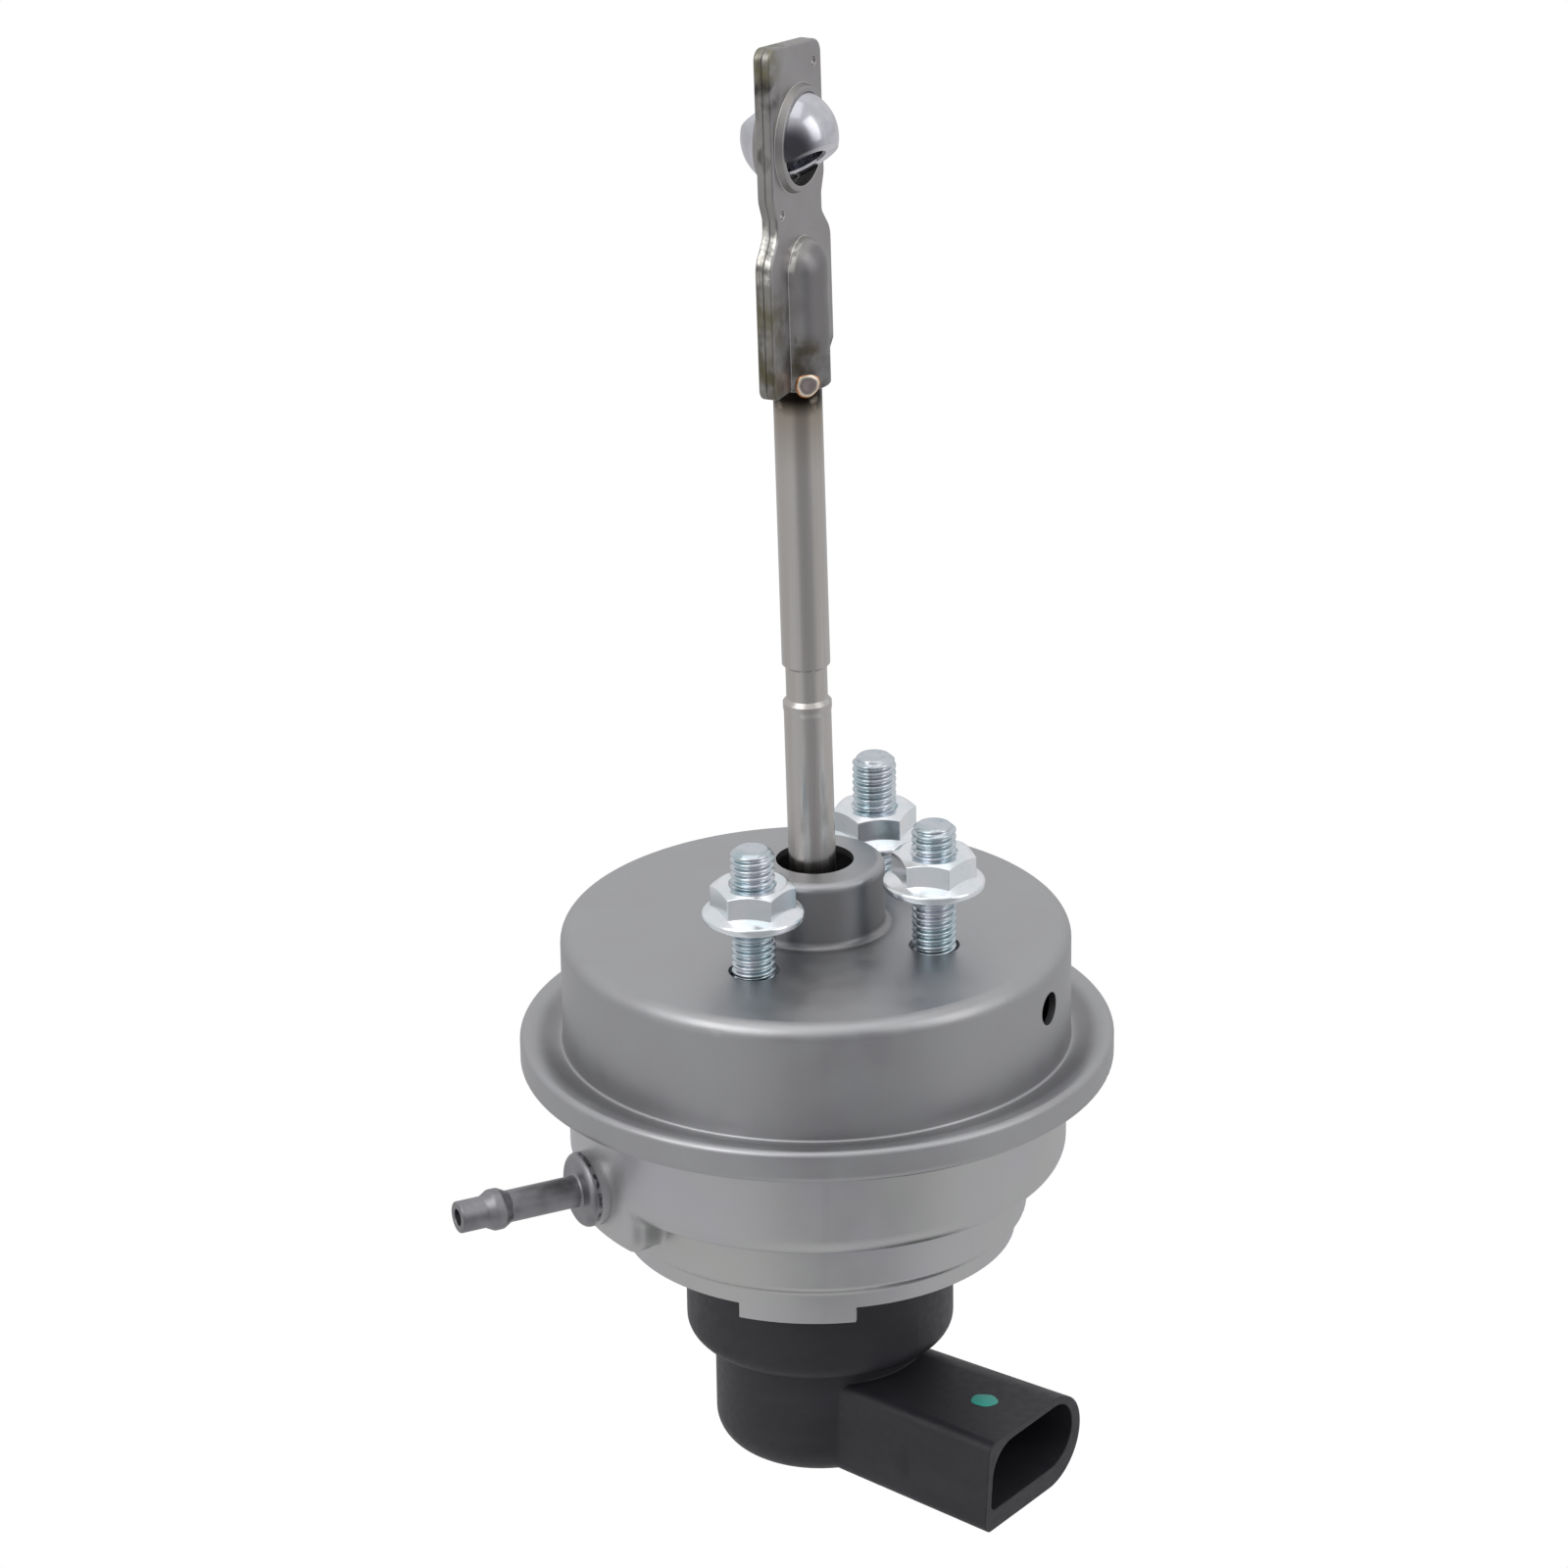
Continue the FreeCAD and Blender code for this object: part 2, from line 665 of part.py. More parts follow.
def make_weld_spots():
    """A weld on each side, where the channel's lower end meets the rod."""
    beads = []
    for turn in (-weld_angle, 180.0 - weld_angle):
        bead = Part.makeSphere(weld_r, heading(turn, sleeve_r + plate_t - weld_sink) + UP * weld_at)
        beads.append(to_clevis(bead))
    solids = []
    for bead in beads:
        bead = bead.cut(make_front_clevis_plate()).cut(make_rear_clevis_plate()).cut(make_rod_sleeve())
        outer = max(bead.Solids, key=lambda part: part.Volume)
        solids.append(outer)
    return Part.makeCompound(solids)


def make_bearing_ball():
    """A ball with two flats and a bore, tipped the way the loose ball has come to rest."""
    flat_r = math.sqrt(ball_r ** 2 - ball_half_width ** 2)
    lip_r = ball_bore_r + ball_bore_chamfer
    lip_z = ball_half_width - ball_bore_chamfer
    corners = [Vector(flat_r, 0, ball_half_width), Vector(lip_r, 0, ball_half_width),
               Vector(ball_bore_r, 0, lip_z), Vector(ball_bore_r, 0, -lip_z),
               Vector(lip_r, 0, -ball_half_width), Vector(flat_r, 0, -ball_half_width)]
    edges = [Part.makeLine(start, end) for start, end in zip(corners, corners[1:])]
    edges.append(Part.Arc(corners[-1], Vector(ball_r, 0, 0), corners[0]).toShape())
    ball = Part.Face(Part.Wire(edges)).revolve(Vector(0, 0, 0), UP, 360)
    ball.rotate(Vector(0, 0, 0), Vector(0, 1, 0), 90 + ball_dip)
    ball.rotate(Vector(0, 0, 0), UP, ball_heading)
    ball.translate(UP * ball_at)
    return lean(ball)


def to_connector(shape):
    """Turn a shape laid out along +X to the connector's heading, dipping as the connector does."""
    shape = shape.copy()
    pivot = UP * socket_z
    shape.rotate(pivot, Vector(0, 1, 0), connector_dip)
    shape.rotate(pivot, UP, connector_heading)
    return shape


def across(x, near, far, low, high, near_low_r, near_high_r):
    """A wire in the plane at X: two named corners on its near side, its far side fully round."""
    far_r = (high - low) / 2.0 - 0.05
    wire = rounded_wire([(near, low, near_low_r), (far, low, far_r),
                         (far, high, far_r), (near, high, near_high_r)])
    wire.rotate(Vector(0, 0, 0), UP, 90)
    wire.translate(Vector(x, 0, 0))
    return wire


def make_connector_arm():
    """The solid arm, a little narrower and lower at its root than at its mouth."""
    sections = []
    for x, width_draft, height_draft in ((arm_root, arm_width_draft, arm_height_draft),
                                         (socket_reach, 0.0, 0.0)):
        half = socket_half_width - width_draft
        low = socket_z - socket_half_height + height_draft
        high = socket_z + socket_half_height - height_draft
        sections.append(across(x, -half, half, low, high, socket_corner, socket_corner))
    return Part.makeLoft(sections, True)


def make_opening():
    wire = across(socket_reach - opening_depth, opening_near, opening_far, opening_low, opening_high,
                  opening_bottom_corner, opening_top_corner)
    return Part.Face(wire).extrude(Vector(2.0 * opening_depth, 0, 0))


def make_sensor_housing():
    """Plug flange, collar and base in one turned form, with the connector arm moulded on."""
    body = turned([
        (0, -plug_top, 0), (plug_r, -plug_top, 0.3),
        (plug_r, seal_z + seal_r, 0), (plug_r - 2 * seal_r, seal_z + seal_r, 0),
        (plug_r - 2 * seal_r, seal_z - seal_r, 0), (plug_r, seal_z - seal_r, 0),
        (plug_r, -mouth_bottom, 0.3), (collar_r, -mouth_bottom, 0),
        (collar_r, -collar_bottom, collar_fillet), (base_r, -collar_bottom, 0.5),
        (base_r, -base_bottom, base_fillet), (0, -base_bottom, 0)])
    body = body.fuse(to_connector(make_connector_arm()))
    top = -plug_top + sheet
    hollow = turned([(0, top, 0), (collar_inner_r, top, 0), (collar_inner_r, -collar_floor, 1.0),
                     (well_r, -collar_floor, 0.5), (well_r, -well_floor, 1.0), (0, -well_floor, 0)])
    body = body.cut(hollow)
    body = body.cut(to_connector(make_opening()))
    pocket_x = board_x - chip_t - board_play
    pocket_half = board_half_width + board_play
    pocket_depth = board_bottom + board_play
    pocket_length = board_x + board_t + board_play - pocket_x
    pocket = Part.makeBox(pocket_length, 2 * pocket_half, pocket_depth - board_top,
                          Vector(pocket_x, -pocket_half, -pocket_depth))
    body = body.cut(to_connector(pocket))
    for pin in make_pins():
        body = body.cut(pin)
    return body.removeSplitter()


def make_pins():
    pins = []
    start = board_x + board_t
    for i in (-1, 0, 1):
        blade = Part.makeBox(pin_reach - start, pin_width, pin_thickness,
                             Vector(start, pin_middle + i * pin_pitch - pin_width / 2.0,
                                    pin_z - pin_thickness / 2.0))
        tips = [edge for edge in blade.Edges if edge.BoundBox.XMin > pin_reach - 1e-3]
        pins.append(to_connector(blade.makeChamfer(pin_point, tips)))
    return pins


def make_housing_seal():
    return Part.makeTorus(plug_r - seal_r, seal_r - seal_squeeze, UP * seal_z)


def make_sensor_board():
    board = Part.makeBox(board_t, 2 * board_half_width, board_bottom - board_top,
                         Vector(board_x, -board_half_width, -board_bottom))
    return to_connector(board)


def make_sensor_chip():
    chip = Part.makeBox(chip_t, 2 * chip_half_width, chip_bottom - chip_top,
                        Vector(board_x - chip_t, -chip_half_width, -chip_bottom))
    return to_connector(chip)


def make_magnet_carrier():
    plug_top_z = foot_z - foot_r - 0.1
    body = turned([(0, plug_top_z, 0), (foot_r, plug_top_z, 0.3), (foot_r, hub_bottom, 0),
                   (carrier_shoulder_r, hub_bottom, 0),
                   (carrier_shoulder_r, hub_bottom - carrier_shoulder_t, 0.4),
                   (carrier_stem_r, hub_bottom - carrier_shoulder_t, 0.5),
                   (carrier_stem_r, -carrier_neck_at, 0.3),
                   (carrier_head_r, -carrier_neck_at - carrier_neck_slope, 0.3),
                   (carrier_head_r, -carrier_bottom, 0.5), (0, -carrier_bottom, 0)])
    pocket_length = magnet_length + magnet_inset + 1.0
    return body.cut(Part.makeCylinder(magnet_r, pocket_length, UP * (-carrier_bottom - 1.0)))


def make_sensor_magnet():
    return Part.makeCylinder(magnet_r, magnet_length, UP * (-carrier_bottom + magnet_inset))


pieces = {
    "upper_can": make_upper_can(),
    "stud_plate": make_stud_plate(),
    "mounting_studs": Part.makeCompound([make_stud(a, z) for a, z in zip(stud_angles, nut_heights)]),
    "flange_nuts": Part.makeCompound([make_flange_nut(a, t, z)
                                      for a, t, z in zip(stud_angles, nut_turns, nut_heights)]),
    "lower_can": make_lower_can(),
    "hose_nipple": make_hose_nipple(),
    "diaphragm": make_diaphragm(),
    "diaphragm_plate": make_diaphragm_plate(),
    "piston_cup": make_piston_cup(),
    "piston_hub": make_piston_hub(),
    "piston_nut": make_piston_nut(),
    "return_spring": make_return_spring(),
    "spring_seat": make_spring_seat(),
    "piston_rod": make_piston_rod(),
    "rod_sleeve": make_rod_sleeve(),
    "front_clevis_plate": make_front_clevis_plate(),
    "rear_clevis_plate": make_rear_clevis_plate(),
    "weld_spots": make_weld_spots(),
    "bearing_ball": make_bearing_ball(),
    "sensor_housing": make_sensor_housing(),
    "housing_seal": make_housing_seal(),
    "sensor_board": make_sensor_board(),
    "sensor_chip": make_sensor_chip(),
    "connector_pins": Part.makeCompound(make_pins()),
    "magnet_carrier": make_magnet_carrier(),
    "sensor_magnet": make_sensor_magnet(),
}

for name, shape in pieces.items():
    box = shape.BoundBox
    print(f"{name:20s} solids {len(shape.Solids)} valid {shape.isValid()} volume {shape.Volume:9.1f} "
          f"x {box.XMin:6.1f} {box.XMax:6.1f} y {box.YMin:6.1f} {box.YMax:6.1f} "
          f"z {box.ZMin:6.1f} {box.ZMax:6.1f}")
    shape.exportStep(f"parts/{name}.step")
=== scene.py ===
# %% [markdown]
# # Dressing a wastegate actuator
# The frame is the imported CAD model: a crimped steel can, a push rod with a ball end,
# three studs with flange nuts, a hose nipple and a black sensor housing.
# This lesson gives each piece its material, cuts real threads on the studs, refines the
# pressings of the upper can and copies the spring and the diaphragm. Then it adds the
# weld beads and a dab of paint, and sets up the camera and the lights. All lengths in the
# scene are metres, and `MM` turns millimetres into them.

# %%
import math

import bpy
from mathutils import Matrix, Vector


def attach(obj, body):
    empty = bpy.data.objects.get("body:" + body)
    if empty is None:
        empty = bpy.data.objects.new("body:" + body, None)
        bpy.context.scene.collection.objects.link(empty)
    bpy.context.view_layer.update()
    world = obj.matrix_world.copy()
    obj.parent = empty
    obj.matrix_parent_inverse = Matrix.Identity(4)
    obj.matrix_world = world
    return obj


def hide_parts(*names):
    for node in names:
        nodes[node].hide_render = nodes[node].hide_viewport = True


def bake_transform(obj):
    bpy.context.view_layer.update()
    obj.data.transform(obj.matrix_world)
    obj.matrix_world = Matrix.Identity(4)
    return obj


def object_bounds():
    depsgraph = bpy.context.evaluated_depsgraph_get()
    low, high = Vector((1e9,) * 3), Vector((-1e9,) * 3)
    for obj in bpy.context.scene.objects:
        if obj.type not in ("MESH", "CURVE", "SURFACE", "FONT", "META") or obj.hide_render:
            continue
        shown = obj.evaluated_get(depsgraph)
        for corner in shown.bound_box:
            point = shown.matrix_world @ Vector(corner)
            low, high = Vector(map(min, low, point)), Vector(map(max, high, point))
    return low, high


MM = 0.001
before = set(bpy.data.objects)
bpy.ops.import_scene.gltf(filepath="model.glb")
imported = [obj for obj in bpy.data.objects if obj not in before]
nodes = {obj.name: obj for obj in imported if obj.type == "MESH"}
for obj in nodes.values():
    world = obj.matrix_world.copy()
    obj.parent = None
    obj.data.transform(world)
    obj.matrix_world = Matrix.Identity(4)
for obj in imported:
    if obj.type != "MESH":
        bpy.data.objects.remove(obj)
cad_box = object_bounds()
print("frame loaded:", len(nodes), "nodes")

# %% [markdown]
# ## Small helpers
# Colours are written the way they look on a screen, so one function turns them into
# the linear values that shaders work with. `add` makes one shader node: each input is
# either a plain value or the output of another node.

# %%


def linear(hex_colour):
    """Turn a screen colour such as "#8c8c8c" into linear RGBA, fully opaque."""
    channels = [int(hex_colour[i:i + 2], 16) / 255.0 for i in (1, 3, 5)]
    low = [c / 12.92 for c in channels]
    high = [((c + 0.055) / 1.055) ** 2.4 for c in channels]
    return [h if c > 0.04045 else l for c, h, l in zip(channels, high, low)] + [1.0]


def add(material, kind, inputs=None, **settings):
    """Add one shader node, with its settings first and then its inputs."""
    node = material.node_tree.nodes.new(kind)
    for key, value in settings.items():
        setattr(node, key, value)
    for key, value in (inputs or {}).items():
        if isinstance(value, bpy.types.NodeSocket):
            material.node_tree.links.new(value, node.inputs[key])
        else:
            node.inputs[key].default_value = value
    return node


def new_material(name):
    """An empty Principled material, with its shader node."""
    material = bpy.data.materials.new(name)
    material.use_nodes = True
    return material, material.node_tree.nodes["Principled BSDF"]


def join(material, output, socket):
    """Link the output of one node to the input of another."""
    material.node_tree.links.new(output, socket)


print("helpers ready")

# %% [markdown]
# ## Pattern helpers
# Every pattern is three-dimensional and measured in millimetres, so a grain of 0.4 mm
# is 0.4 mm on every piece. Stretching a noise along Z gives the long marks that
# drawing and turning leave on metal.

# %%
BEVEL_SAMPLES = 8
NEAR_SHARE = 0.35
ALIKE_ON_FACE = 0.985
ALIKE_AT_EDGE = 0.88


def place(material):
    """Where a point is, in the model's own frame, in metres."""
    return add(material, "ShaderNodeTexCoord").outputs["Object"]


def noise(material, size_mm, detail=3.0, roughness=0.55):
    """A noise whose grains measure size_mm, one number or one for each of X, Y and Z."""
    sizes = (size_mm,) * 3 if isinstance(size_mm, (int, float)) else size_mm
    mapping = add(material, "ShaderNodeMapping",
                  {"Vector": place(material), "Scale": [1.0 / (s * MM) for s in sizes]})
    texture = add(material, "ShaderNodeTexNoise",
                  {"Vector": mapping.outputs["Vector"], "Scale": 1.0,
                   "Detail": detail, "Roughness": roughness})
    return texture.outputs["Fac"]


def spread(material, value, low, high, to_low=0.0, to_high=1.0):
    """Stretch a value smoothly from one range to another."""
    node = add(material, "ShaderNodeMapRange",
               {"Value": value, "From Min": low, "From Max": high, "To Min": to_low, "To Max": to_high},
               interpolation_type="SMOOTHSTEP")
    return node.outputs["Result"]


def mix(material, factor, first, second):
    """Blend two colours; each is a hex colour or the output of another node."""
    colours = [linear(c) if isinstance(c, str) else c for c in (first, second)]
    # For colours this node takes its factor at input 0 and the colours at inputs 6 and 7.
    node = add(material, "ShaderNodeMix", {0: factor, 6: colours[0], 7: colours[1]}, data_type="RGBA")
    return node.outputs[2]


def maths(material, operation, *values):
    """One step of arithmetic; each value is a number or the output of another node."""
    node = add(material, "ShaderNodeMath", dict(enumerate(values)), operation=operation)
    return node.outputs["Value"]


def bump(material, height, depth_mm, strength=1.0, normal=None):
    """Raise the surface by a height pattern of a given depth."""
    inputs = {"Height": height, "Distance": depth_mm * MM, "Strength": strength}
    if normal is not None:
        inputs["Normal"] = normal
    return add(material, "ShaderNodeBump", inputs).outputs["Normal"]


def soft_edges(material, radius):
    """The surface direction with sharp edges rounded. The radius is in metres, or an output."""
    return add(material, "ShaderNodeBevel", {"Radius": radius}, samples=BEVEL_SAMPLES).outputs["Normal"]


def edge_mask(material, radius_mm):
    """1 along every sharp edge and 0 on the faces: where the rounded and true directions differ."""
    true = add(material, "ShaderNodeNewGeometry").outputs["Normal"]
    both = {0: soft_edges(material, radius_mm * MM), 1: true}
    alike = add(material, "ShaderNodeVectorMath", both, operation="DOT_PRODUCT")
    # This is 1 on a face, where the directions are alike, and falls towards an edge.
    return spread(material, alike.outputs["Value"], ALIKE_ON_FACE, ALIKE_AT_EDGE)


def coordinate(material, axis):
    """One coordinate of the surface point, in metres: X, Y or Z."""
    split = add(material, "ShaderNodeSeparateXYZ", {"Vector": place(material)})
    return split.outputs[axis]


def axis_distance(material):
    """How far the surface point is from the can's axis, in metres."""
    flat = add(material, "ShaderNodeVectorMath", {0: place(material), 1: (1.0, 1.0, 0.0)},
               operation="MULTIPLY")
    length = add(material, "ShaderNodeVectorMath", {0: flat.outputs["Vector"]}, operation="LENGTH")
    return length.outputs["Value"]


def nearness(material, spot_mm, radius_mm):
    """1 at a spot of the model, falling smoothly to 0 at a distance from it."""
    spot = tuple(c * MM for c in spot_mm)
    gap = add(material, "ShaderNodeVectorMath", {0: place(material), 1: spot}, operation="DISTANCE")
    return spread(material, gap.outputs["Value"], radius_mm * MM * NEAR_SHARE, radius_mm * MM, 1.0, 0.0)


def band(material, value, low, high, fade):
    """1 between two values, falling smoothly to 0 on both sides."""
    rise = spread(material, value, low - fade, low)
    return maths(material, "MULTIPLY", rise, spread(material, value, high, high + fade, 1.0, 0.0))


print("patterns ready")

# %% [markdown]
# ## Metals
# The cans are drawn steel with a dull zinc passivation: nearly neutral grey, soft
# reflections, and long faint marks down their walls. The lower can has the blotchy
# greenish and violet tint that such a bath leaves. The collar round the rod and the hollow
# of the rim are darker with painted shade. Radii and heights below are in millimetres. The
# collar's painted shade fades out between its two values, and the rim's is full between its
# two radii.

# %%
CLOUD_MM = 9.0
PATCH_MM = 17.0
DRAWN_MARKS_MM = (0.5, 0.5, 18.0)
GRAIN_MM = 0.35
COLLAR_SHADE_R = (10.0, 12.0)
COLLAR_SHADE_Z = (7.8, 9.2)
RIM_SHADE_R = (36.0, 37.2)
RIM_SHADE_FADE = 1.6
EDGE_ROUNDING = 2.4


def can_steel(name, light, dark, tint_one, tint_two, tint_amount, edge=None, collar=None):
    """Satin pressed steel: cloudy colour, drawn marks along Z and a fine grain."""
    material, shader = new_material(name)
    cloud = spread(material, noise(material, CLOUD_MM), 0.3, 0.7)
    base = mix(material, cloud, dark, light)
    patches = spread(material, noise(material, PATCH_MM, 2.0), 0.25, 0.75)
    tint = mix(material, patches, tint_one, tint_two)
    base = mix(material, tint_amount, base, tint)
    marks = noise(material, DRAWN_MARKS_MM)
    base = mix(material, spread(material, marks, 0.55, 0.8, 0.0, 0.25), base, dark)
    # Painted shade: the collar's side and the rim's hollow are darkened in colour with the `collar` grey.
    if collar:
        distance = axis_distance(material)
        near_rod = spread(material, distance, COLLAR_SHADE_R[0] * MM, COLLAR_SHADE_R[1] * MM, 1.0, 0.0)
        low = spread(material, coordinate(material, "Z"),
                     COLLAR_SHADE_Z[0] * MM, COLLAR_SHADE_Z[1] * MM, 1.0, 0.0)
        base = mix(material, maths(material, "MULTIPLY", near_rod, low), base, collar)
        rim_shade = band(material, distance, RIM_SHADE_R[0] * MM, RIM_SHADE_R[1] * MM, RIM_SHADE_FADE * MM)
        base = mix(material, maths(material, "MULTIPLY", rim_shade, 0.9), base, collar)
    join(material, base, shader.inputs["Base Color"])
    shader.inputs["Metallic"].default_value = 1.0
    join(material, spread(material, cloud, 0.0, 1.0, 0.36, 0.46), shader.inputs["Roughness"])
    rounded = None
    if edge:
        radius = maths(material, "MULTIPLY", nearness(material, *edge), EDGE_ROUNDING * MM)
        rounded = soft_edges(material, radius)
    relief = bump(material, marks, 0.010, 0.5, rounded)
    join(material, bump(material, noise(material, GRAIN_MM), 0.012, 0.5, relief), shader.inputs["Normal"])
    return material


BULGE_EDGE = (-2.1, -34.6, -37.0)
BULGE_EDGE_REACH = 9.0
# The last grey is the painted shade of the collar and of the rim's hollow.
upper_steel = can_steel("upper_can_steel", "#babbbc", "#b2b2b5", "#b7b7b7", "#b5b6ba", 0.3,
                        collar="#9b9b9d")
lower_steel = can_steel("lower_can_steel", "#cfcfd1", "#c6c6c9", "#cbcdc4", "#cac8d2", 0.5,
                        edge=(BULGE_EDGE, BULGE_EDGE_REACH))
print("can steel ready")

# %% [markdown]
# Zinc plating on the studs and nuts is bright, with a blue to teal cast that shifts
# from place to place and edges worn white.

# %%
ZINC_HUE_MM = 4.0
ZINC_SPECK_MM = 0.9
ZINC_RIPPLE_MM = 0.8
ZINC_WORN_MM = 0.15
ZINC_ROUNDING_MM = 0.25


def zinc_plate(name, teal, blue, dark, roughness):
    """Bright zinc plate: nearly a mirror, with a hue that wanders every few millimetres."""
    material, shader = new_material(name)
    hue = spread(material, noise(material, ZINC_HUE_MM, 1.0), 0.35, 0.65)
    dull = spread(material, noise(material, ZINC_SPECK_MM), 0.55, 0.75, 0.0, 0.3)
    base = mix(material, dull, mix(material, hue, teal, blue), dark)
    base = mix(material, edge_mask(material, ZINC_WORN_MM), base, "#ffffff")
    join(material, base, shader.inputs["Base Color"])
    shader.inputs["Metallic"].default_value = 1.0
    join(material, spread(material, dull, 0.0, 0.3, roughness, roughness + 0.06), shader.inputs["Roughness"])
    relief = bump(material, noise(material, ZINC_RIPPLE_MM), 0.006, 0.4,
                  soft_edges(material, ZINC_ROUNDING_MM * MM))
    join(material, relief, shader.inputs["Normal"])
    return material


stud_zinc = zinc_plate("stud_zinc", "#c0d0d6", "#d6dbe2", "#8d9a9e", 0.2)
nut_zinc = zinc_plate("nut_zinc", "#f0f8fb", "#f8fafe", "#d5e0e4", 0.17)
print("zinc plate ready")

# %% [markdown]
# The rod is drawn stainless steel, warm grey, with streaks along its length. Near the
# weld at the top of the sleeve the heat has left straw, brown and soot.

# %%
ROD_HEAT_Z = 78.0
HEAT_LENGTH = 14.0
SOOT_Z = (73.0, 76.0)
ROD_STREAKS_MM = (1.1, 1.1, 60.0)


def rod_steel(name, heat):
    """Drawn stainless steel with fine streaks; `heat` adds the stains below the weld."""
    material, shader = new_material(name)
    streaks = noise(material, ROD_STREAKS_MM, 2.0)
    base = mix(material, spread(material, streaks, 0.35, 0.7), "#c2beba", "#cbc8c5")
    if heat:
        height = coordinate(material, "Z")
        near = spread(material, height, (ROD_HEAT_Z - HEAT_LENGTH) * MM, ROD_HEAT_Z * MM)
        base = mix(material, maths(material, "MULTIPLY", near, 0.7), base, "#8d7a5e")
        soot = spread(material, height, SOOT_Z[0] * MM, SOOT_Z[1] * MM)
        patchy = maths(material, "MULTIPLY", soot, spread(material, noise(material, 2.5), 0.30, 0.5))
        base = mix(material, patchy, base, "#1e1a16")
    join(material, base, shader.inputs["Base Color"])
    shader.inputs["Metallic"].default_value = 1.0
    join(material, spread(material, streaks, 0.3, 0.7, 0.22, 0.30), shader.inputs["Roughness"])
    join(material, bump(material, streaks, 0.004, 0.4), shader.inputs["Normal"])
    return material


lower_rod_steel = rod_steel("lower_rod_steel", False)
sleeve_steel = rod_steel("sleeve_steel", True)
print("rod steel ready")

# %% [markdown]
# The clevis plates are stamped sheet: a plain grey face, with an olive tone along
# their cut edges and dark smudges where they were handled and welded. A point's distance
# from the plane between the plates tells the flat sheet from its raised pressings, and
# `ACROSS_PLATES` leans a little with the rod. Each stain is a spot in the model, a radius
# and a colour.

# %%
PLATE_HEADING = math.radians(18.5)
ACROSS_PLATES = (math.cos(PLATE_HEADING), math.sin(PLATE_HEADING), 0.0158)
PLATE_FACING = (math.cos(PLATE_HEADING), math.sin(PLATE_HEADING), 0.0)
SHEET_FROM_MIDDLE = (1.6, 2.0)
RAISED_FROM_MIDDLE = (2.2, 3.2)
SHOULDER_Z = (94.5, 100.0)
SHOULDER_FADE = 1.5
SOOT_REACH = 8.0
PLATE_HIGHLIGHT_MM = 0.22
PLATE_ROUNDING_MM = 0.2
WELD_Z = 78.3
STAINS = (((0.7, -8.7, 122.5), 4.5, "#7d785c"), ((0.8, -8.7, 118.0), 3.5, "#2e2b28"),
          ((1.7, -10.0, 88.0), 6.0, "#77725a"), ((1.8, -9.9, 80.0), 5.0, "#6f6a50"),
          ((3.0, -3.6, 82.0), 3.8, "#5b5340"))


def clevis_steel(name):
    """Bare stamped steel: satin and stained, with a painted highlight along its sharp edges."""
    material, shader = new_material(name)
    cloud = spread(material, noise(material, 5.0), 0.3, 0.7)
    base = mix(material, cloud, "#a5a2a3", "#b2b0b1")
    from_middle = add(material, "ShaderNodeVectorMath", {0: place(material), 1: ACROSS_PLATES},
                      operation="DOT_PRODUCT")
    from_middle = maths(material, "ABSOLUTE", from_middle.outputs["Value"])
    raised = spread(material, from_middle, RAISED_FROM_MIDDLE[0] * MM, RAISED_FROM_MIDDLE[1] * MM)
    sheet_edge = spread(material, from_middle, SHEET_FROM_MIDDLE[0] * MM, SHEET_FROM_MIDDLE[1] * MM,
                        1.0, 0.0)
    # Painted shade: the raised pressings are darker than the flat sheet.
    base = mix(material, maths(material, "MULTIPLY", raised, 0.85), base, "#868485")
    geometry = add(material, "ShaderNodeNewGeometry")
    facing = add(material, "ShaderNodeVectorMath", {0: geometry.outputs["Normal"], 1: PLATE_FACING},
                 operation="DOT_PRODUCT")
    flat = maths(material, "ABSOLUTE", facing.outputs["Value"])
    edge = spread(material, flat, 0.75, 0.25)
    base = mix(material, maths(material, "MULTIPLY", edge, 0.25), base, "#8f8d76")
    height = coordinate(material, "Z")
    shoulder = band(material, height, SHOULDER_Z[0] * MM, SHOULDER_Z[1] * MM, SHOULDER_FADE * MM)
    rubbed = maths(material, "MULTIPLY", maths(material, "MULTIPLY", edge, shoulder), sheet_edge)
    rubbed = maths(material, "MULTIPLY", rubbed, spread(material, noise(material, 2.0), 0.40, 0.55))
    base = mix(material, rubbed, base, "#f2f0e8")
    smears = spread(material, noise(material, (3.0, 3.0, 7.0)), 0.52, 0.66)
    smudge = maths(material, "MULTIPLY", edge, smears)
    base = mix(material, maths(material, "MULTIPLY", smudge, 0.6), base, "#3a3830")
    soot = spread(material, height, (WELD_Z + SOOT_REACH) * MM, WELD_Z * MM)
    sooty = maths(material, "MULTIPLY", soot, spread(material, noise(material, 3.0), 0.35, 0.7))
    base = mix(material, maths(material, "MULTIPLY", sooty, 0.75), base, "#3b352c")
    for spot, radius, stain in STAINS:
        ragged = maths(material, "MULTIPLY", nearness(material, spot, radius),
                       spread(material, noise(material, 2.2, 2.0), 0.25, 0.7))
        base = mix(material, maths(material, "MULTIPLY", ragged, 0.8), base, stain)
    # Painted highlight: a thin near-white line along every sharp edge of the plates.
    edge_highlight = maths(material, "MULTIPLY", edge_mask(material, PLATE_HIGHLIGHT_MM), 0.7)
    base = mix(material, edge_highlight, base, "#f4f2f0")
    join(material, base, shader.inputs["Base Color"])
    shader.inputs["Metallic"].default_value = 1.0
    join(material, spread(material, cloud, 0.0, 1.0, 0.34, 0.46), shader.inputs["Roughness"])
    relief = bump(material, noise(material, 0.4), 0.010, 0.5,
                  soft_edges(material, PLATE_ROUNDING_MM * MM))
    relief = bump(material, noise(material, (0.3, 0.3, 6.0)), 0.004, 0.5, relief)
    join(material, relief, shader.inputs["Normal"])
    return material


plate_steel = clevis_steel("clevis_steel")
print("clevis steel ready")
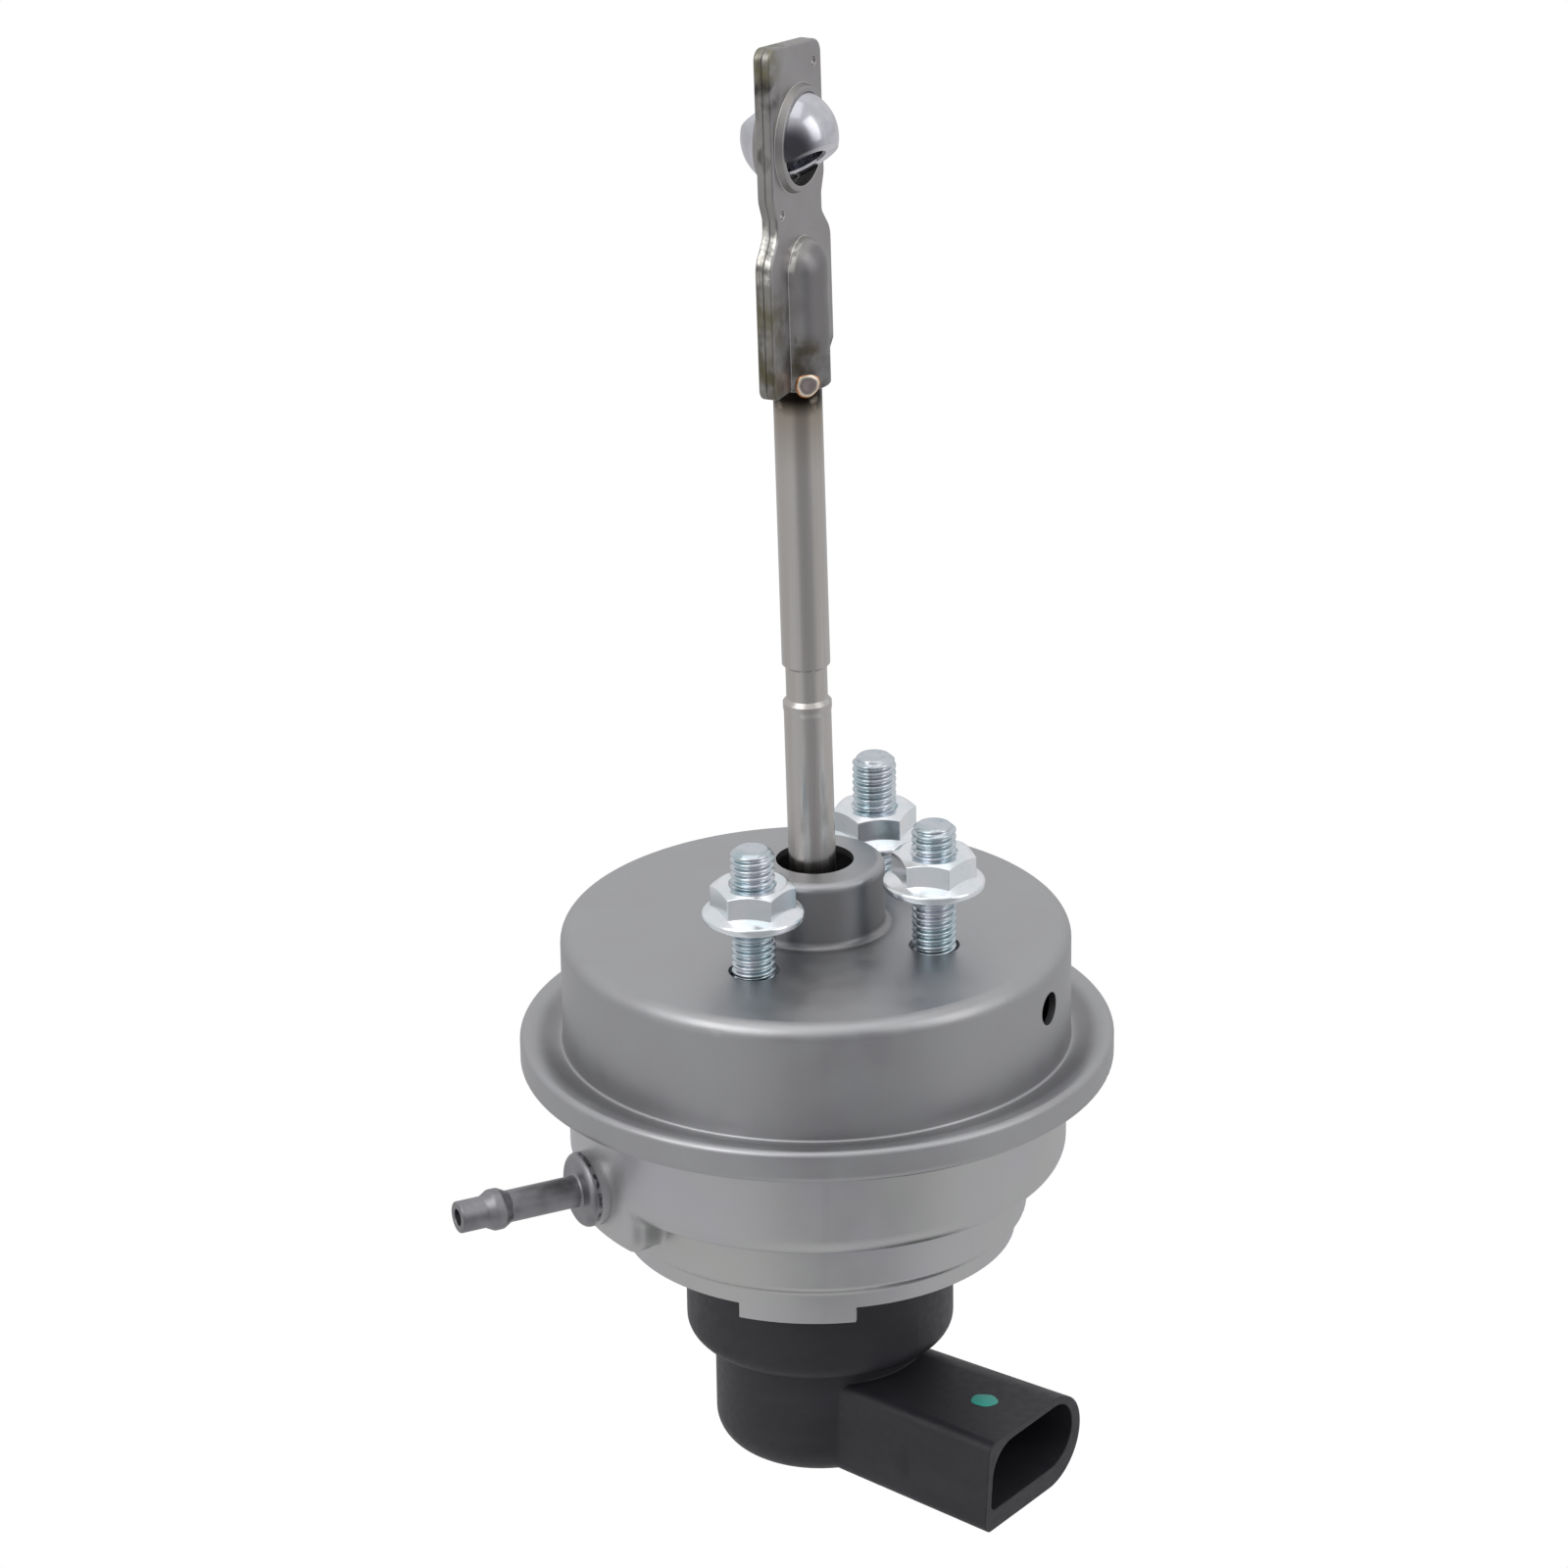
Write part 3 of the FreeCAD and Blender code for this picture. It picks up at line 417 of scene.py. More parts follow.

# %% [markdown]
# The ball is ground and polished, the weld is a dull bead inside a ring of heat
# colours, and the smaller inner pieces get plainer metals. The nipple's foot takes the
# can's colour up to where it is brazed.

# %%
# Middle and reach of the painted shadow on the ball's lower left, in millimetres.
BALL_SHADOW = (2.6, -5.9, 110.4)
BALL_SHADOW_REACH = 5.5
FOOT_COLOUR_R = (35.4, 35.7)
BRAZE_R = (35.6, 35.8)
BRAZE_FADE = 0.3
NIPPLE_ROUNDING_MM = 0.3
CLOUDS_PER_GRAIN = 6.0
PLAIN_GRAIN_MM = 0.6


def plain_metal(name, light, dark, roughness):
    """A plain metal: slightly cloudy, with a fine grain."""
    material, shader = new_material(name)
    cloud = noise(material, PLAIN_GRAIN_MM * CLOUDS_PER_GRAIN)
    base = mix(material, spread(material, cloud, 0.35, 0.65), dark, light)
    join(material, base, shader.inputs["Base Color"])
    shader.inputs["Metallic"].default_value = 1.0
    join(material, spread(material, cloud, 0.3, 0.7, roughness, roughness + 0.08), shader.inputs["Roughness"])
    join(material, bump(material, noise(material, PLAIN_GRAIN_MM), 0.006, 0.4), shader.inputs["Normal"])
    return material


def ball_metal():
    """The polished ball. A painted shadow keeps its lower left darker."""
    material, shader = new_material("ball_steel")
    # Painted shadow: the ball's lower left is darkened in its colour.
    shadow = nearness(material, BALL_SHADOW, BALL_SHADOW_REACH)
    cloud = spread(material, noise(material, 3.0), 0.35, 0.65)
    base = mix(material, shadow, mix(material, cloud, "#cfcfd6", "#dedee5"), "#5c5c62")
    join(material, base, shader.inputs["Base Color"])
    shader.inputs["Metallic"].default_value = 1.0
    join(material, spread(material, shadow, 0.0, 1.0, 0.16, 0.3), shader.inputs["Roughness"])
    return material


def braze_steel():
    """The nipple: dull dark steel, speckled dark and bright where it is brazed to the can."""
    material, shader = new_material("nipple_steel")
    cloud = spread(material, noise(material, 2.5), 0.3, 0.7)
    base = mix(material, cloud, "#8f8e92", "#a4a3a7")
    distance = axis_distance(material)
    foot_share = spread(material, distance, FOOT_COLOUR_R[0] * MM, FOOT_COLOUR_R[1] * MM, 1.0, 0.0)
    base = mix(material, foot_share, base, "#c9c9cb")
    speckle = spread(material, noise(material, 0.9), 0.40, 0.60)
    braze = band(material, distance, BRAZE_R[0] * MM, BRAZE_R[1] * MM, BRAZE_FADE * MM)
    base = mix(material, braze, base, mix(material, speckle, "#5c5c60", "#b0b0b4"))
    join(material, base, shader.inputs["Base Color"])
    shader.inputs["Metallic"].default_value = 1.0
    join(material, spread(material, cloud, 0.0, 1.0, 0.36, 0.46), shader.inputs["Roughness"])
    relief = bump(material, noise(material, 0.6), 0.015, 0.6,
                  soft_edges(material, NIPPLE_ROUNDING_MM * MM))
    join(material, relief, shader.inputs["Normal"])
    return material


ball_steel = ball_metal()
nipple_steel = braze_steel()
spring_steel = plain_metal("spring_steel", "#8c8c8e", "#6f6f72", 0.35)
magnet_ferrite = plain_metal("magnet_ferrite", "#4a4a4d", "#3a3a3d", 0.55)
tinned_pins = plain_metal("tinned_pins", "#dcd8cc", "#c8c2b2", 0.25)
print("other metals ready")

# %% [markdown]
# ## Plastics and rubber
# The sensor housing is moulded, glass-filled black plastic. It is not quite black:
# bluish grey in the light, with a faint flow pattern and a fine moulded grain. Its edges
# are softly rounded, most of all where the connector's arm grows out of the round base.

# %%
FLOW_MM = (16.0, 16.0, 5.0)
MOULDED_ROUNDING = 0.3
ARM_ROUNDING = 3.0
ARM_ROOT = (18.0, -8.0, -74.0)
ARM_ROOT_REACH = 10.0


def moulded(name, light, dark, roughness, grain_mm=0.25, grain_depth=0.01, blend=None):
    """Moulded plastic or rubber; `blend` is a spot and a reach where edges are rounded more."""
    material, shader = new_material(name)
    flow = noise(material, FLOW_MM)
    base = mix(material, spread(material, flow, 0.35, 0.65), dark, light)
    join(material, base, shader.inputs["Base Color"])
    speckle = noise(material, 1.2)
    join(material, spread(material, speckle, 0.3, 0.7, roughness - 0.04, roughness + 0.05),
         shader.inputs["Roughness"])
    edges = None
    if blend:
        wide = maths(material, "MULTIPLY", nearness(material, *blend), ARM_ROUNDING * MM)
        edges = soft_edges(material, maths(material, "ADD", wide, MOULDED_ROUNDING * MM))
    relief = bump(material, noise(material, grain_mm), grain_depth, 0.6, edges)
    join(material, relief, shader.inputs["Normal"])
    return material


black_plastic = moulded("black_plastic", "#2c2b31", "#26252a", 0.48,
                        blend=(ARM_ROOT, ARM_ROOT_REACH))
rubber = moulded("black_rubber", "#262626", "#1f1f1f", 0.75)
carrier_plastic = moulded("carrier_plastic", "#d8d4c4", "#cbc6b4", 0.45)
board_laminate = moulded("board_laminate", "#1f5a34", "#18482a", 0.35)
chip_plastic = moulded("chip_plastic", "#1d1d1f", "#151517", 0.5)
dot_paint = moulded("dot_paint", "#48b8a8", "#3ea597", 0.5, 0.8, 0.03)
print("plastics ready")

# %% [markdown]
# ## Materials onto the CAD nodes
# A CAD node keeps its mesh and gets a better material.

# %%
finish_of = {
    "upper_can": upper_steel, "lower_can": lower_steel, "hose_nipple": nipple_steel,
    "stud_plate": upper_steel, "spring_seat": upper_steel, "piston_cup": upper_steel,
    "diaphragm_plate": upper_steel, "mounting_studs": stud_zinc, "flange_nuts": nut_zinc,
    "piston_nut": nut_zinc, "piston_hub": lower_rod_steel, "piston_rod": lower_rod_steel,
    "rod_sleeve": sleeve_steel, "front_clevis_plate": plate_steel, "rear_clevis_plate": plate_steel,
    "weld_spots": plate_steel, "bearing_ball": ball_steel, "return_spring": spring_steel,
    "sensor_magnet": magnet_ferrite, "connector_pins": tinned_pins, "sensor_housing": black_plastic,
    "magnet_carrier": carrier_plastic, "sensor_board": board_laminate, "sensor_chip": chip_plastic,
    "diaphragm": rubber, "housing_seal": rubber,
}
for name, material in finish_of.items():
    nodes[name].data.materials.clear()
    nodes[name].data.materials.append(material)
print("materials on", len(finish_of), "nodes")

# %% [markdown]
# ## Threads on the studs
# The CAD studs are plain cylinders. Here each stud is one grid of rings from its head
# to its tip, and the radius of every point follows a 1 mm thread: it depends only on
# how far the point has come round and up the helix. Outlines are radius and height.

# %%
STUD_CIRCLE = 18.0
STUD_HEADINGS = (-74.0, 16.0, 106.0)
STUD_TOP = 17.7
THREAD_PITCH = 1.0
CREST_R = 3.0
ROOT_R = 2.42
THREAD_BOTTOM = -0.9
TIP_R = 2.2
CHAMFER_SLOPE = 1.1
CREST_SHARE = 0.1
FLANK_SHARE = 0.75
HEAD_OUTLINE = ((4.1, -5.0), (4.5, -4.6), (4.5, -3.0), (3.4, -3.0), (3.4, -1.0))
TIP_OUTLINE = ((1.9, STUD_TOP + 0.02), (1.3, STUD_TOP - 0.12))
TURN_BETWEEN_STUDS = 0.31
SEGMENTS = 48
RINGS_PER_PITCH = 12
SMOOTH_ANGLE = 50.0


def thread_radius(z, turn):
    """Radius of the thread at a height, for a point that is `turn` of the way round."""
    phase = (z / THREAD_PITCH - turn) % 1.0
    slope = min(max((abs(phase - 0.5) * 2.0 - CREST_SHARE) / FLANK_SHARE, 0.0), 1.0)
    depth = slope * slope * (3.0 - 2.0 * slope)
    chamfer = TIP_R + (STUD_TOP - z) * CHAMFER_SLOPE
    return min(CREST_R - (CREST_R - ROOT_R) * depth, chamfer)


def stud_rings(start):
    """Rows of (radii, height) from the stud's head up to its tip, in millimetres."""
    rows = [([r] * SEGMENTS, z) for r, z in HEAD_OUTLINE]
    count = round((STUD_TOP - THREAD_BOTTOM) / THREAD_PITCH * RINGS_PER_PITCH)
    for k in range(count + 1):
        z = STUD_TOP - (count - k) * THREAD_PITCH / RINGS_PER_PITCH
        rows.append(([thread_radius(z, j / SEGMENTS + start) for j in range(SEGMENTS)], z))
    return rows + [([r] * SEGMENTS, z) for r, z in TIP_OUTLINE]


def rings_to_mesh(rows, centre, vertices, faces):
    """Join rows of radii into one closed skin round a vertical axis."""
    first = len(vertices)
    for radii, z in rows:
        for j, radius in enumerate(radii):
            angle = 2.0 * math.pi * j / SEGMENTS
            vertices.append(((centre[0] + radius * math.cos(angle)) * MM,
                             (centre[1] + radius * math.sin(angle)) * MM, z * MM))
    for i in range(len(rows) - 1):
        for j in range(SEGMENTS):
            here = first + i * SEGMENTS
            ahead = (j + 1) % SEGMENTS
            faces.append((here + j, here + ahead, here + SEGMENTS + ahead, here + SEGMENTS + j))
    last = first + (len(rows) - 1) * SEGMENTS
    faces.append(tuple(range(first + SEGMENTS - 1, first - 1, -1)))
    faces.append(tuple(range(last, last + SEGMENTS)))


def mesh_object(name, vertices, faces, material):
    """A new mesh object with one material, smooth except at sharp corners."""
    mesh = bpy.data.meshes.new(name)
    mesh.from_pydata(vertices, [], faces)
    mesh.validate()
    mesh.materials.append(material)
    mesh.shade_smooth()
    mesh.set_sharp_from_angle(angle=math.radians(SMOOTH_ANGLE))
    piece = bpy.data.objects.new(name, mesh)
    bpy.context.scene.collection.objects.link(piece)
    return piece


stud_vertices, stud_faces = [], []
for i, stud_heading in enumerate(STUD_HEADINGS):
    turn = math.radians(stud_heading)
    stud_centre = (STUD_CIRCLE * math.cos(turn), STUD_CIRCLE * math.sin(turn))
    rings_to_mesh(stud_rings(TURN_BETWEEN_STUDS * i), stud_centre, stud_vertices, stud_faces)
threaded_studs = mesh_object("threaded_studs", stud_vertices, stud_faces, stud_zinc)
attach(threaded_studs, "can")
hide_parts("mounting_studs")
print("threaded studs:", len(stud_faces), "faces")

# %% [markdown]
# ## Upper can with softer pressings
# A close look at the photograph shows a tighter fold at the foot of the collar and a rim
# that rises in one wide hollow to its outer bead. So the upper can is a copy of the CAD
# mesh with the points of its outer skin moved: `reshape` takes a point of the old
# outline, as radius and height, to the new outline and gives its new direction.
#
# The outline is a chain of arcs, joined by the collar's wall and the rim's hollow. A row
# of ARCS holds the old middle and radius, then the new ones. Next comes 1 for an arc that
# lies outward and above its middle, or -1 for inward and below. Last comes 1 if the skin
# faces away from the middle, or -1 if it faces the middle.

# %%
COLLAR_R = 9.0
NEW_COLLAR_R = 9.5
COLLAR_ENDS = (2.5, 7.3)
NEW_COLLAR_ENDS = (1.0, 8.1)
END_MARGIN = 0.1
GROOVE_FROM = (35.6, 36.389, 36.929, 37.671, 38.211, 39.1)
GROOVE_HEIGHTS = (-16.5, -16.5, -16.29, -15.61, -15.4, -15.4)
GROOVE_TO = (35.25, 36.2, 37.2, 38.2, 39.0, 39.8)
GROOVE_FLOOR = -16.5
GROOVE_RISE = 1.1
GROOVE_START_R = 35.4
GROOVE_WIDTH = 4.4
ON_ARC = 0.03
ON_WALL = 0.02
ON_GROOVE = 0.1
ARCS = (((7.0, 7.3), 2.0, (8.3, 8.1), 1.2, 1, 1),
        ((11.5, 2.5), 2.5, (10.5, 1.0), 1.0, -1, -1),
        ((35.6, -15.7), 0.8, (35.2, -16.1), 0.4, -1, -1),
        ((39.1, -17.0), 1.6, (39.8, -16.3), 0.9, 1, 1))


def between(value, old, new):
    """Carry a value along a row of old stops to the matching new stops."""
    for i in range(len(old) - 1):
        if value <= old[i + 1]:
            share = (value - old[i]) / (old[i + 1] - old[i])
            return new[i] + share * (new[i + 1] - new[i])
    return new[-1]


def reshape(radius, height):
    """The new radius, height and direction of an outline point, or None if it stays."""
    for middle, size, new_middle, new_size, side, sign in ARCS:
        dr, dz = radius - middle[0], height - middle[1]
        on_side = dr * side > -ON_WALL and dz * side > -ON_WALL
        if abs(math.hypot(dr, dz) - size) < ON_ARC and on_side:
            dr, dz = dr / size, dz / size
            return (new_middle[0] + new_size * dr, new_middle[1] + new_size * dz, dr * sign, dz * sign)
    on_collar = COLLAR_ENDS[0] - END_MARGIN < height < COLLAR_ENDS[1] + END_MARGIN
    if abs(radius - COLLAR_R) < ON_WALL and on_collar:
        return NEW_COLLAR_R, between(height, COLLAR_ENDS, NEW_COLLAR_ENDS), 1.0, 0.0
    within = GROOVE_FROM[0] <= radius <= GROOVE_FROM[-1]
    if within and abs(height - between(radius, GROOVE_FROM, GROOVE_HEIGHTS)) < ON_GROOVE:
        new_radius = between(radius, GROOVE_FROM, GROOVE_TO)
        t = min(max((new_radius - GROOVE_START_R) / GROOVE_WIDTH, 0.0), 1.0)
        # The hollow rises as t * t * (3 - 2 * t), so this is its slope.
        slope = GROOVE_RISE * 6.0 * t * (1.0 - t) / GROOVE_WIDTH
        size = math.hypot(slope, 1.0)
        return new_radius, GROOVE_FLOOR + GROOVE_RISE * t * t * (3.0 - 2.0 * t), -slope / size, 1.0 / size
    return None


can_mesh = nodes["upper_can"].data.copy()
can_mesh.name = "pressed_upper_can"
directions = [corner.vector.copy() for corner in can_mesh.corner_normals]
moved = {}
for vertex in can_mesh.vertices:
    radius = math.hypot(vertex.co.x, vertex.co.y)
    new = reshape(radius / MM, vertex.co.z / MM)
    if new:
        x, y = vertex.co.x / radius, vertex.co.y / radius
        moved[vertex.index] = Vector((x * new[2], y * new[2], new[3]))
        vertex.co = Vector((x * new[0], y * new[0], new[1])) * MM
for corner in can_mesh.loops:
    if corner.vertex_index in moved:
        directions[corner.index] = moved[corner.vertex_index]
can_mesh.normals_split_custom_set(directions)
pressed_can = bpy.data.objects.new("pressed_upper_can", can_mesh)
bpy.context.scene.collection.objects.link(pressed_can)
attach(pressed_can, "can")
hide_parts("upper_can")
print("upper can:", len(moved), "of", len(can_mesh.vertices), "points moved")

# %% [markdown]
# ## Spring and diaphragm
# The can holds the spring's lower end and the diaphragm's rim, and the piston moves their
# upper ends. Each is copied into an object of its own in the model's frame, and its CAD
# node is hidden.
# A row of FLEXING holds the node, its slot and the height in millimetres that the can holds.

# %%
FLEXING = (("return_spring", "spring_steel", -40.8), ("diaphragm", "black_rubber", -18.0))

for name, slot, held_z in FLEXING:
    flexing = bpy.data.objects.new("flexing_" + name, nodes[name].data.copy())
    bpy.context.scene.collection.objects.link(flexing)
    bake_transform(flexing)
    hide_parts(name)

# %% [markdown]
# ## Weld beads
# Each plate is welded to the rod at its lower end. A bead is a low, round button of
# metal with a shallow crater, and its underside is sunk in the plate. Every point of its
# mesh stores how far it lies from the middle, and the material turns that distance into
# rings: grey, cream and copper.

# %%
BEAD_ANGLE = 46.0
BEAD_R = 1.85
BEAD_AT_R = 3.75
BEAD_HEIGHT = 1.25
BEAD_WAVE = 0.05
BEAD_LOBES = 3.0
BEAD_LOBE_START = 0.8
CRATER_DEPTH = 0.45
CRATER_SHARE = 0.5
UNDERSIDE = 0.6
FOOT_Z = -10.8
LEAN = 1.0
LEAN_HEADING = -136.5
BEAD_RINGS = 14
BEAD_SEGMENTS = 40

lean_axis = Vector((0, 0, 1)).cross(Vector((math.cos(math.radians(LEAN_HEADING)),
                                           math.sin(math.radians(LEAN_HEADING)), 0)))
foot = Vector((0, 0, FOOT_Z))
lean = (Matrix.Translation(foot) @ Matrix.Rotation(math.radians(LEAN), 4, lean_axis)
        @ Matrix.Translation(-foot))


def bead_point(centre, out, across, share, angle, side):
    """A point of the bead: `share` of the way from its middle to its rim, on its top or underside."""
    wave = 1.0 + BEAD_WAVE * math.sin(BEAD_LOBES * angle + BEAD_LOBE_START) * share
    reach = BEAD_R * share * wave
    dome = math.sqrt(max(1.0 - share * share, 0.0)) * BEAD_HEIGHT
    crater = CRATER_DEPTH * math.exp(-(share / CRATER_SHARE) ** 2)
    lift = (dome - crater) if side > 0 else -UNDERSIDE * dome
    point = (centre + out * lift + across * (reach * math.cos(angle))
             + Vector((0, 0, reach * math.sin(angle))))
    return (lean @ point) * MM


bead_vertices, bead_faces, bead_shares = [], [], []
for turn in (-BEAD_ANGLE, 180.0 - BEAD_ANGLE):
    way = PLATE_HEADING + math.radians(turn)
    out = Vector((math.cos(way), math.sin(way), 0.0))
    across = Vector((-out.y, out.x, 0.0))
    centre = out * BEAD_AT_R + Vector((0, 0, WELD_Z))
    shares = [(k / BEAD_RINGS, 1) for k in range(1, BEAD_RINGS + 1)]
    shares += [(k / BEAD_RINGS, -1) for k in range(BEAD_RINGS - 1, 0, -1)]
    first = len(bead_vertices)
    bead_vertices.append(bead_point(centre, out, across, 0.0, 0.0, 1))
    bead_shares.append(0.0)
    for share, side in shares:
        for j in range(BEAD_SEGMENTS):
            angle = 2.0 * math.pi * j / BEAD_SEGMENTS
            bead_vertices.append(bead_point(centre, out, across, share, angle, side))
            bead_shares.append(share)
    bead_vertices.append(bead_point(centre, out, across, 0.0, 0.0, -1))
    bead_shares.append(1.0)
    last = len(bead_vertices) - 1
    for j in range(BEAD_SEGMENTS):
        ahead = (j + 1) % BEAD_SEGMENTS
        bead_faces.append((first, first + 1 + j, first + 1 + ahead))
        for i in range(len(shares) - 1):
            row = first + 1 + i * BEAD_SEGMENTS
            below = row + BEAD_SEGMENTS
            bead_faces.append((row + j, below + j, below + ahead, row + ahead))
        row = first + 1 + (len(shares) - 1) * BEAD_SEGMENTS
        bead_faces.append((row + j, last, row + ahead))

bead_metal, bead_shader = new_material("weld_bead")
share = add(bead_metal, "ShaderNodeAttribute", attribute_name="share").outputs["Fac"]
wobble = maths(bead_metal, "MULTIPLY", maths(bead_metal, "SUBTRACT", noise(bead_metal, 1.2), 0.5), 0.35)
share = maths(bead_metal, "ADD", share, wobble)
bead_colour = mix(bead_metal, spread(bead_metal, share, 0.55, 0.72), "#9a8f8d", "#f3e6d2")
bead_colour = mix(bead_metal, spread(bead_metal, share, 0.76, 0.84), bead_colour, "#d08a55")
bead_colour = mix(bead_metal, spread(bead_metal, share, 0.88, 0.98), bead_colour, "#6a5a38")
join(bead_metal, bead_colour, bead_shader.inputs["Base Color"])
bead_shader.inputs["Metallic"].default_value = 0.8
bead_shader.inputs["Roughness"].default_value = 0.34
join(bead_metal, bump(bead_metal, noise(bead_metal, 0.5), 0.03, 0.5), bead_shader.inputs["Normal"])

weld_beads = mesh_object("weld_beads", bead_vertices, bead_faces, bead_metal)
shares_kept = weld_beads.data.attributes.new("share", "FLOAT", "POINT")
shares_kept.data.foreach_set("value", bead_shares)
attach(weld_beads, "rod")
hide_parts("weld_spots")
print("weld beads:", len(bead_faces), "faces")

# %% [markdown]
# ## Inspection mark
# A dab of paint on top of the connector: a thin disc, sunk a little into the plastic,
# with two small waves round its edge. The connector points at its own heading and dips, so one matrix
# takes connector coordinates to the model's.

# %%
CONNECTOR_HEADING = 8.2
CONNECTOR_DIP = 3.4
CONNECTOR_Z = -69.9
DAB_ALONG = 28.2
DAB_ACROSS = -1.5
DAB_TOP = 7.0
DAB_R = 1.75
DAB_THICKNESS = 0.12
DAB_ROWS = ((1.0, -0.10), (1.0, 0.03), (0.86, DAB_THICKNESS), (0.0, DAB_THICKNESS + 0.03))

connector = (Matrix.Translation((0, 0, CONNECTOR_Z))
             @ Matrix.Rotation(math.radians(CONNECTOR_HEADING), 4, "Z")
             @ Matrix.Rotation(math.radians(CONNECTOR_DIP), 4, "Y"))
dab_vertices, dab_faces = [], []
for share, height in DAB_ROWS:
    for j in range(SEGMENTS):
        angle = 2.0 * math.pi * j / SEGMENTS
        reach = DAB_R * share * (1.0 + 0.06 * math.sin(2.0 * angle + 0.5) + 0.03 * math.sin(5.0 * angle))
        point = Vector((DAB_ALONG + reach * math.cos(angle), DAB_ACROSS + reach * math.sin(angle),
                        DAB_TOP + height))
        dab_vertices.append((connector @ point) * MM)
for i in range(len(DAB_ROWS) - 1):
    for j in range(SEGMENTS):
        ahead = (j + 1) % SEGMENTS
        here = i * SEGMENTS
        dab_faces.append((here + j, here + ahead, here + SEGMENTS + ahead, here + SEGMENTS + j))
dab_faces.append(tuple(range(SEGMENTS - 1, -1, -1)))
paint_dab = mesh_object("paint_dab", dab_vertices, dab_faces, dot_paint)
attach(paint_dab, "can")
print("paint dab:", len(dab_faces), "faces")

# %% [markdown]
# ## Stage
# The floor and the surroundings look plain white to the camera, as in a product
# photograph. Diffuse rays see a pale floor and a grey studio. Glossy rays see the floor
# glow with the studio's grey, darker where the camera stands: a painted reflection, and
# this is what the metal reflects.

# %%
FLOOR_GAP = 0.2
FLOOR_Z = cad_box[0][2] - FLOOR_GAP * MM
FLOOR_SIZE = 3.0
SIDE_GREY = "#d2d2d4"
HIGH_GREY = "#dededf"
FLOOR_GREY = "#cacacb"
DARK_GREY = "#a2a2a5"
AZIMUTH = 43.5
DARK_TURN = math.radians(AZIMUTH + 16.0)
DARK_SIDE = (math.sin(DARK_TURN), -math.cos(DARK_TURN), 0.0)
DARK_REACH = (0.62, 0.90)

floor_mesh = bpy.data.meshes.new("floor")
half = FLOOR_SIZE / 2.0
floor_mesh.from_pydata([(-half, -half, FLOOR_Z), (half, -half, FLOOR_Z), (half, half, FLOOR_Z),
                        (-half, half, FLOOR_Z)], [], [(0, 1, 2, 3)])
floor = bpy.data.objects.new("floor", floor_mesh)
bpy.context.scene.collection.objects.link(floor)


def surround(tree, direction):
    """The grey of the studio in a direction: paler upward, darker where the camera stands."""
    split = add(tree, "ShaderNodeSeparateXYZ", {"Vector": direction})
    room = mix(tree, spread(tree, split.outputs["Z"], 0.0, 0.5), SIDE_GREY, HIGH_GREY)
    room = mix(tree, spread(tree, split.outputs["Z"], -0.05, 0.0), FLOOR_GREY, room)
    facing = add(tree, "ShaderNodeVectorMath", {0: direction, 1: DARK_SIDE}, operation="DOT_PRODUCT")
    return mix(tree, spread(tree, facing.outputs["Value"], *DARK_REACH), room, DARK_GREY)


floor_paint, floor_shader = new_material("floor_paint")
floor_shader.inputs["Base Color"].default_value = linear("#dcdcde")
floor_shader.inputs["Roughness"].default_value = 0.8
path = add(floor_paint, "ShaderNodeLightPath")
back_along = add(floor_paint, "ShaderNodeNewGeometry").outputs["Incoming"]
ahead_along = add(floor_paint, "ShaderNodeVectorMath", {0: back_along, "Scale": -1.0}, operation="SCALE")
# Painted reflection: to glossy rays the floor glows with the grey of the studio.
mirrored = add(floor_paint, "ShaderNodeEmission",
               {"Color": surround(floor_paint, ahead_along.outputs["Vector"]), "Strength": 1.0})
white = add(floor_paint, "ShaderNodeEmission", {"Color": linear("#ffffff"), "Strength": 1.0})
lit = add(floor_paint, "ShaderNodeMixShader",
          {0: path.outputs["Is Glossy Ray"], 1: floor_shader.outputs["BSDF"],
           2: mirrored.outputs["Emission"]})
either = add(floor_paint, "ShaderNodeMixShader",
             {0: path.outputs["Is Camera Ray"], 1: lit.outputs["Shader"],
              2: white.outputs["Emission"]})
join(floor_paint, either.outputs["Shader"], floor_paint.node_tree.nodes["Material Output"].inputs["Surface"])
floor_mesh.materials.append(floor_paint)

world = bpy.data.worlds.new("studio")
bpy.context.scene.world = world
world.use_nodes = True
seen = add(world, "ShaderNodeLightPath").outputs["Is Camera Ray"]
direction = add(world, "ShaderNodeTexCoord").outputs["Generated"]
background = world.node_tree.nodes["Background"]
join(world, mix(world, seen, surround(world, direction), "#ffffff"), background.inputs["Color"])
background.inputs["Strength"].default_value = 1.0
print("stage ready")

# %% [markdown]
# ## Camera
# The camera was fitted to the photograph: its distance, its height and a slight roll.
# The object's origin lands at a known pixel of the 1600 pixel frame, and the lens
# shift puts it there.

# %%
IMAGE = 1600.0
FOCAL_PIXELS = 6500.0
DISTANCE = 866.7
ELEVATION = 23.9
ROLL = -0.7
ORIGIN_PIXEL = (832.2, 940.0)
SENSOR = 36.0

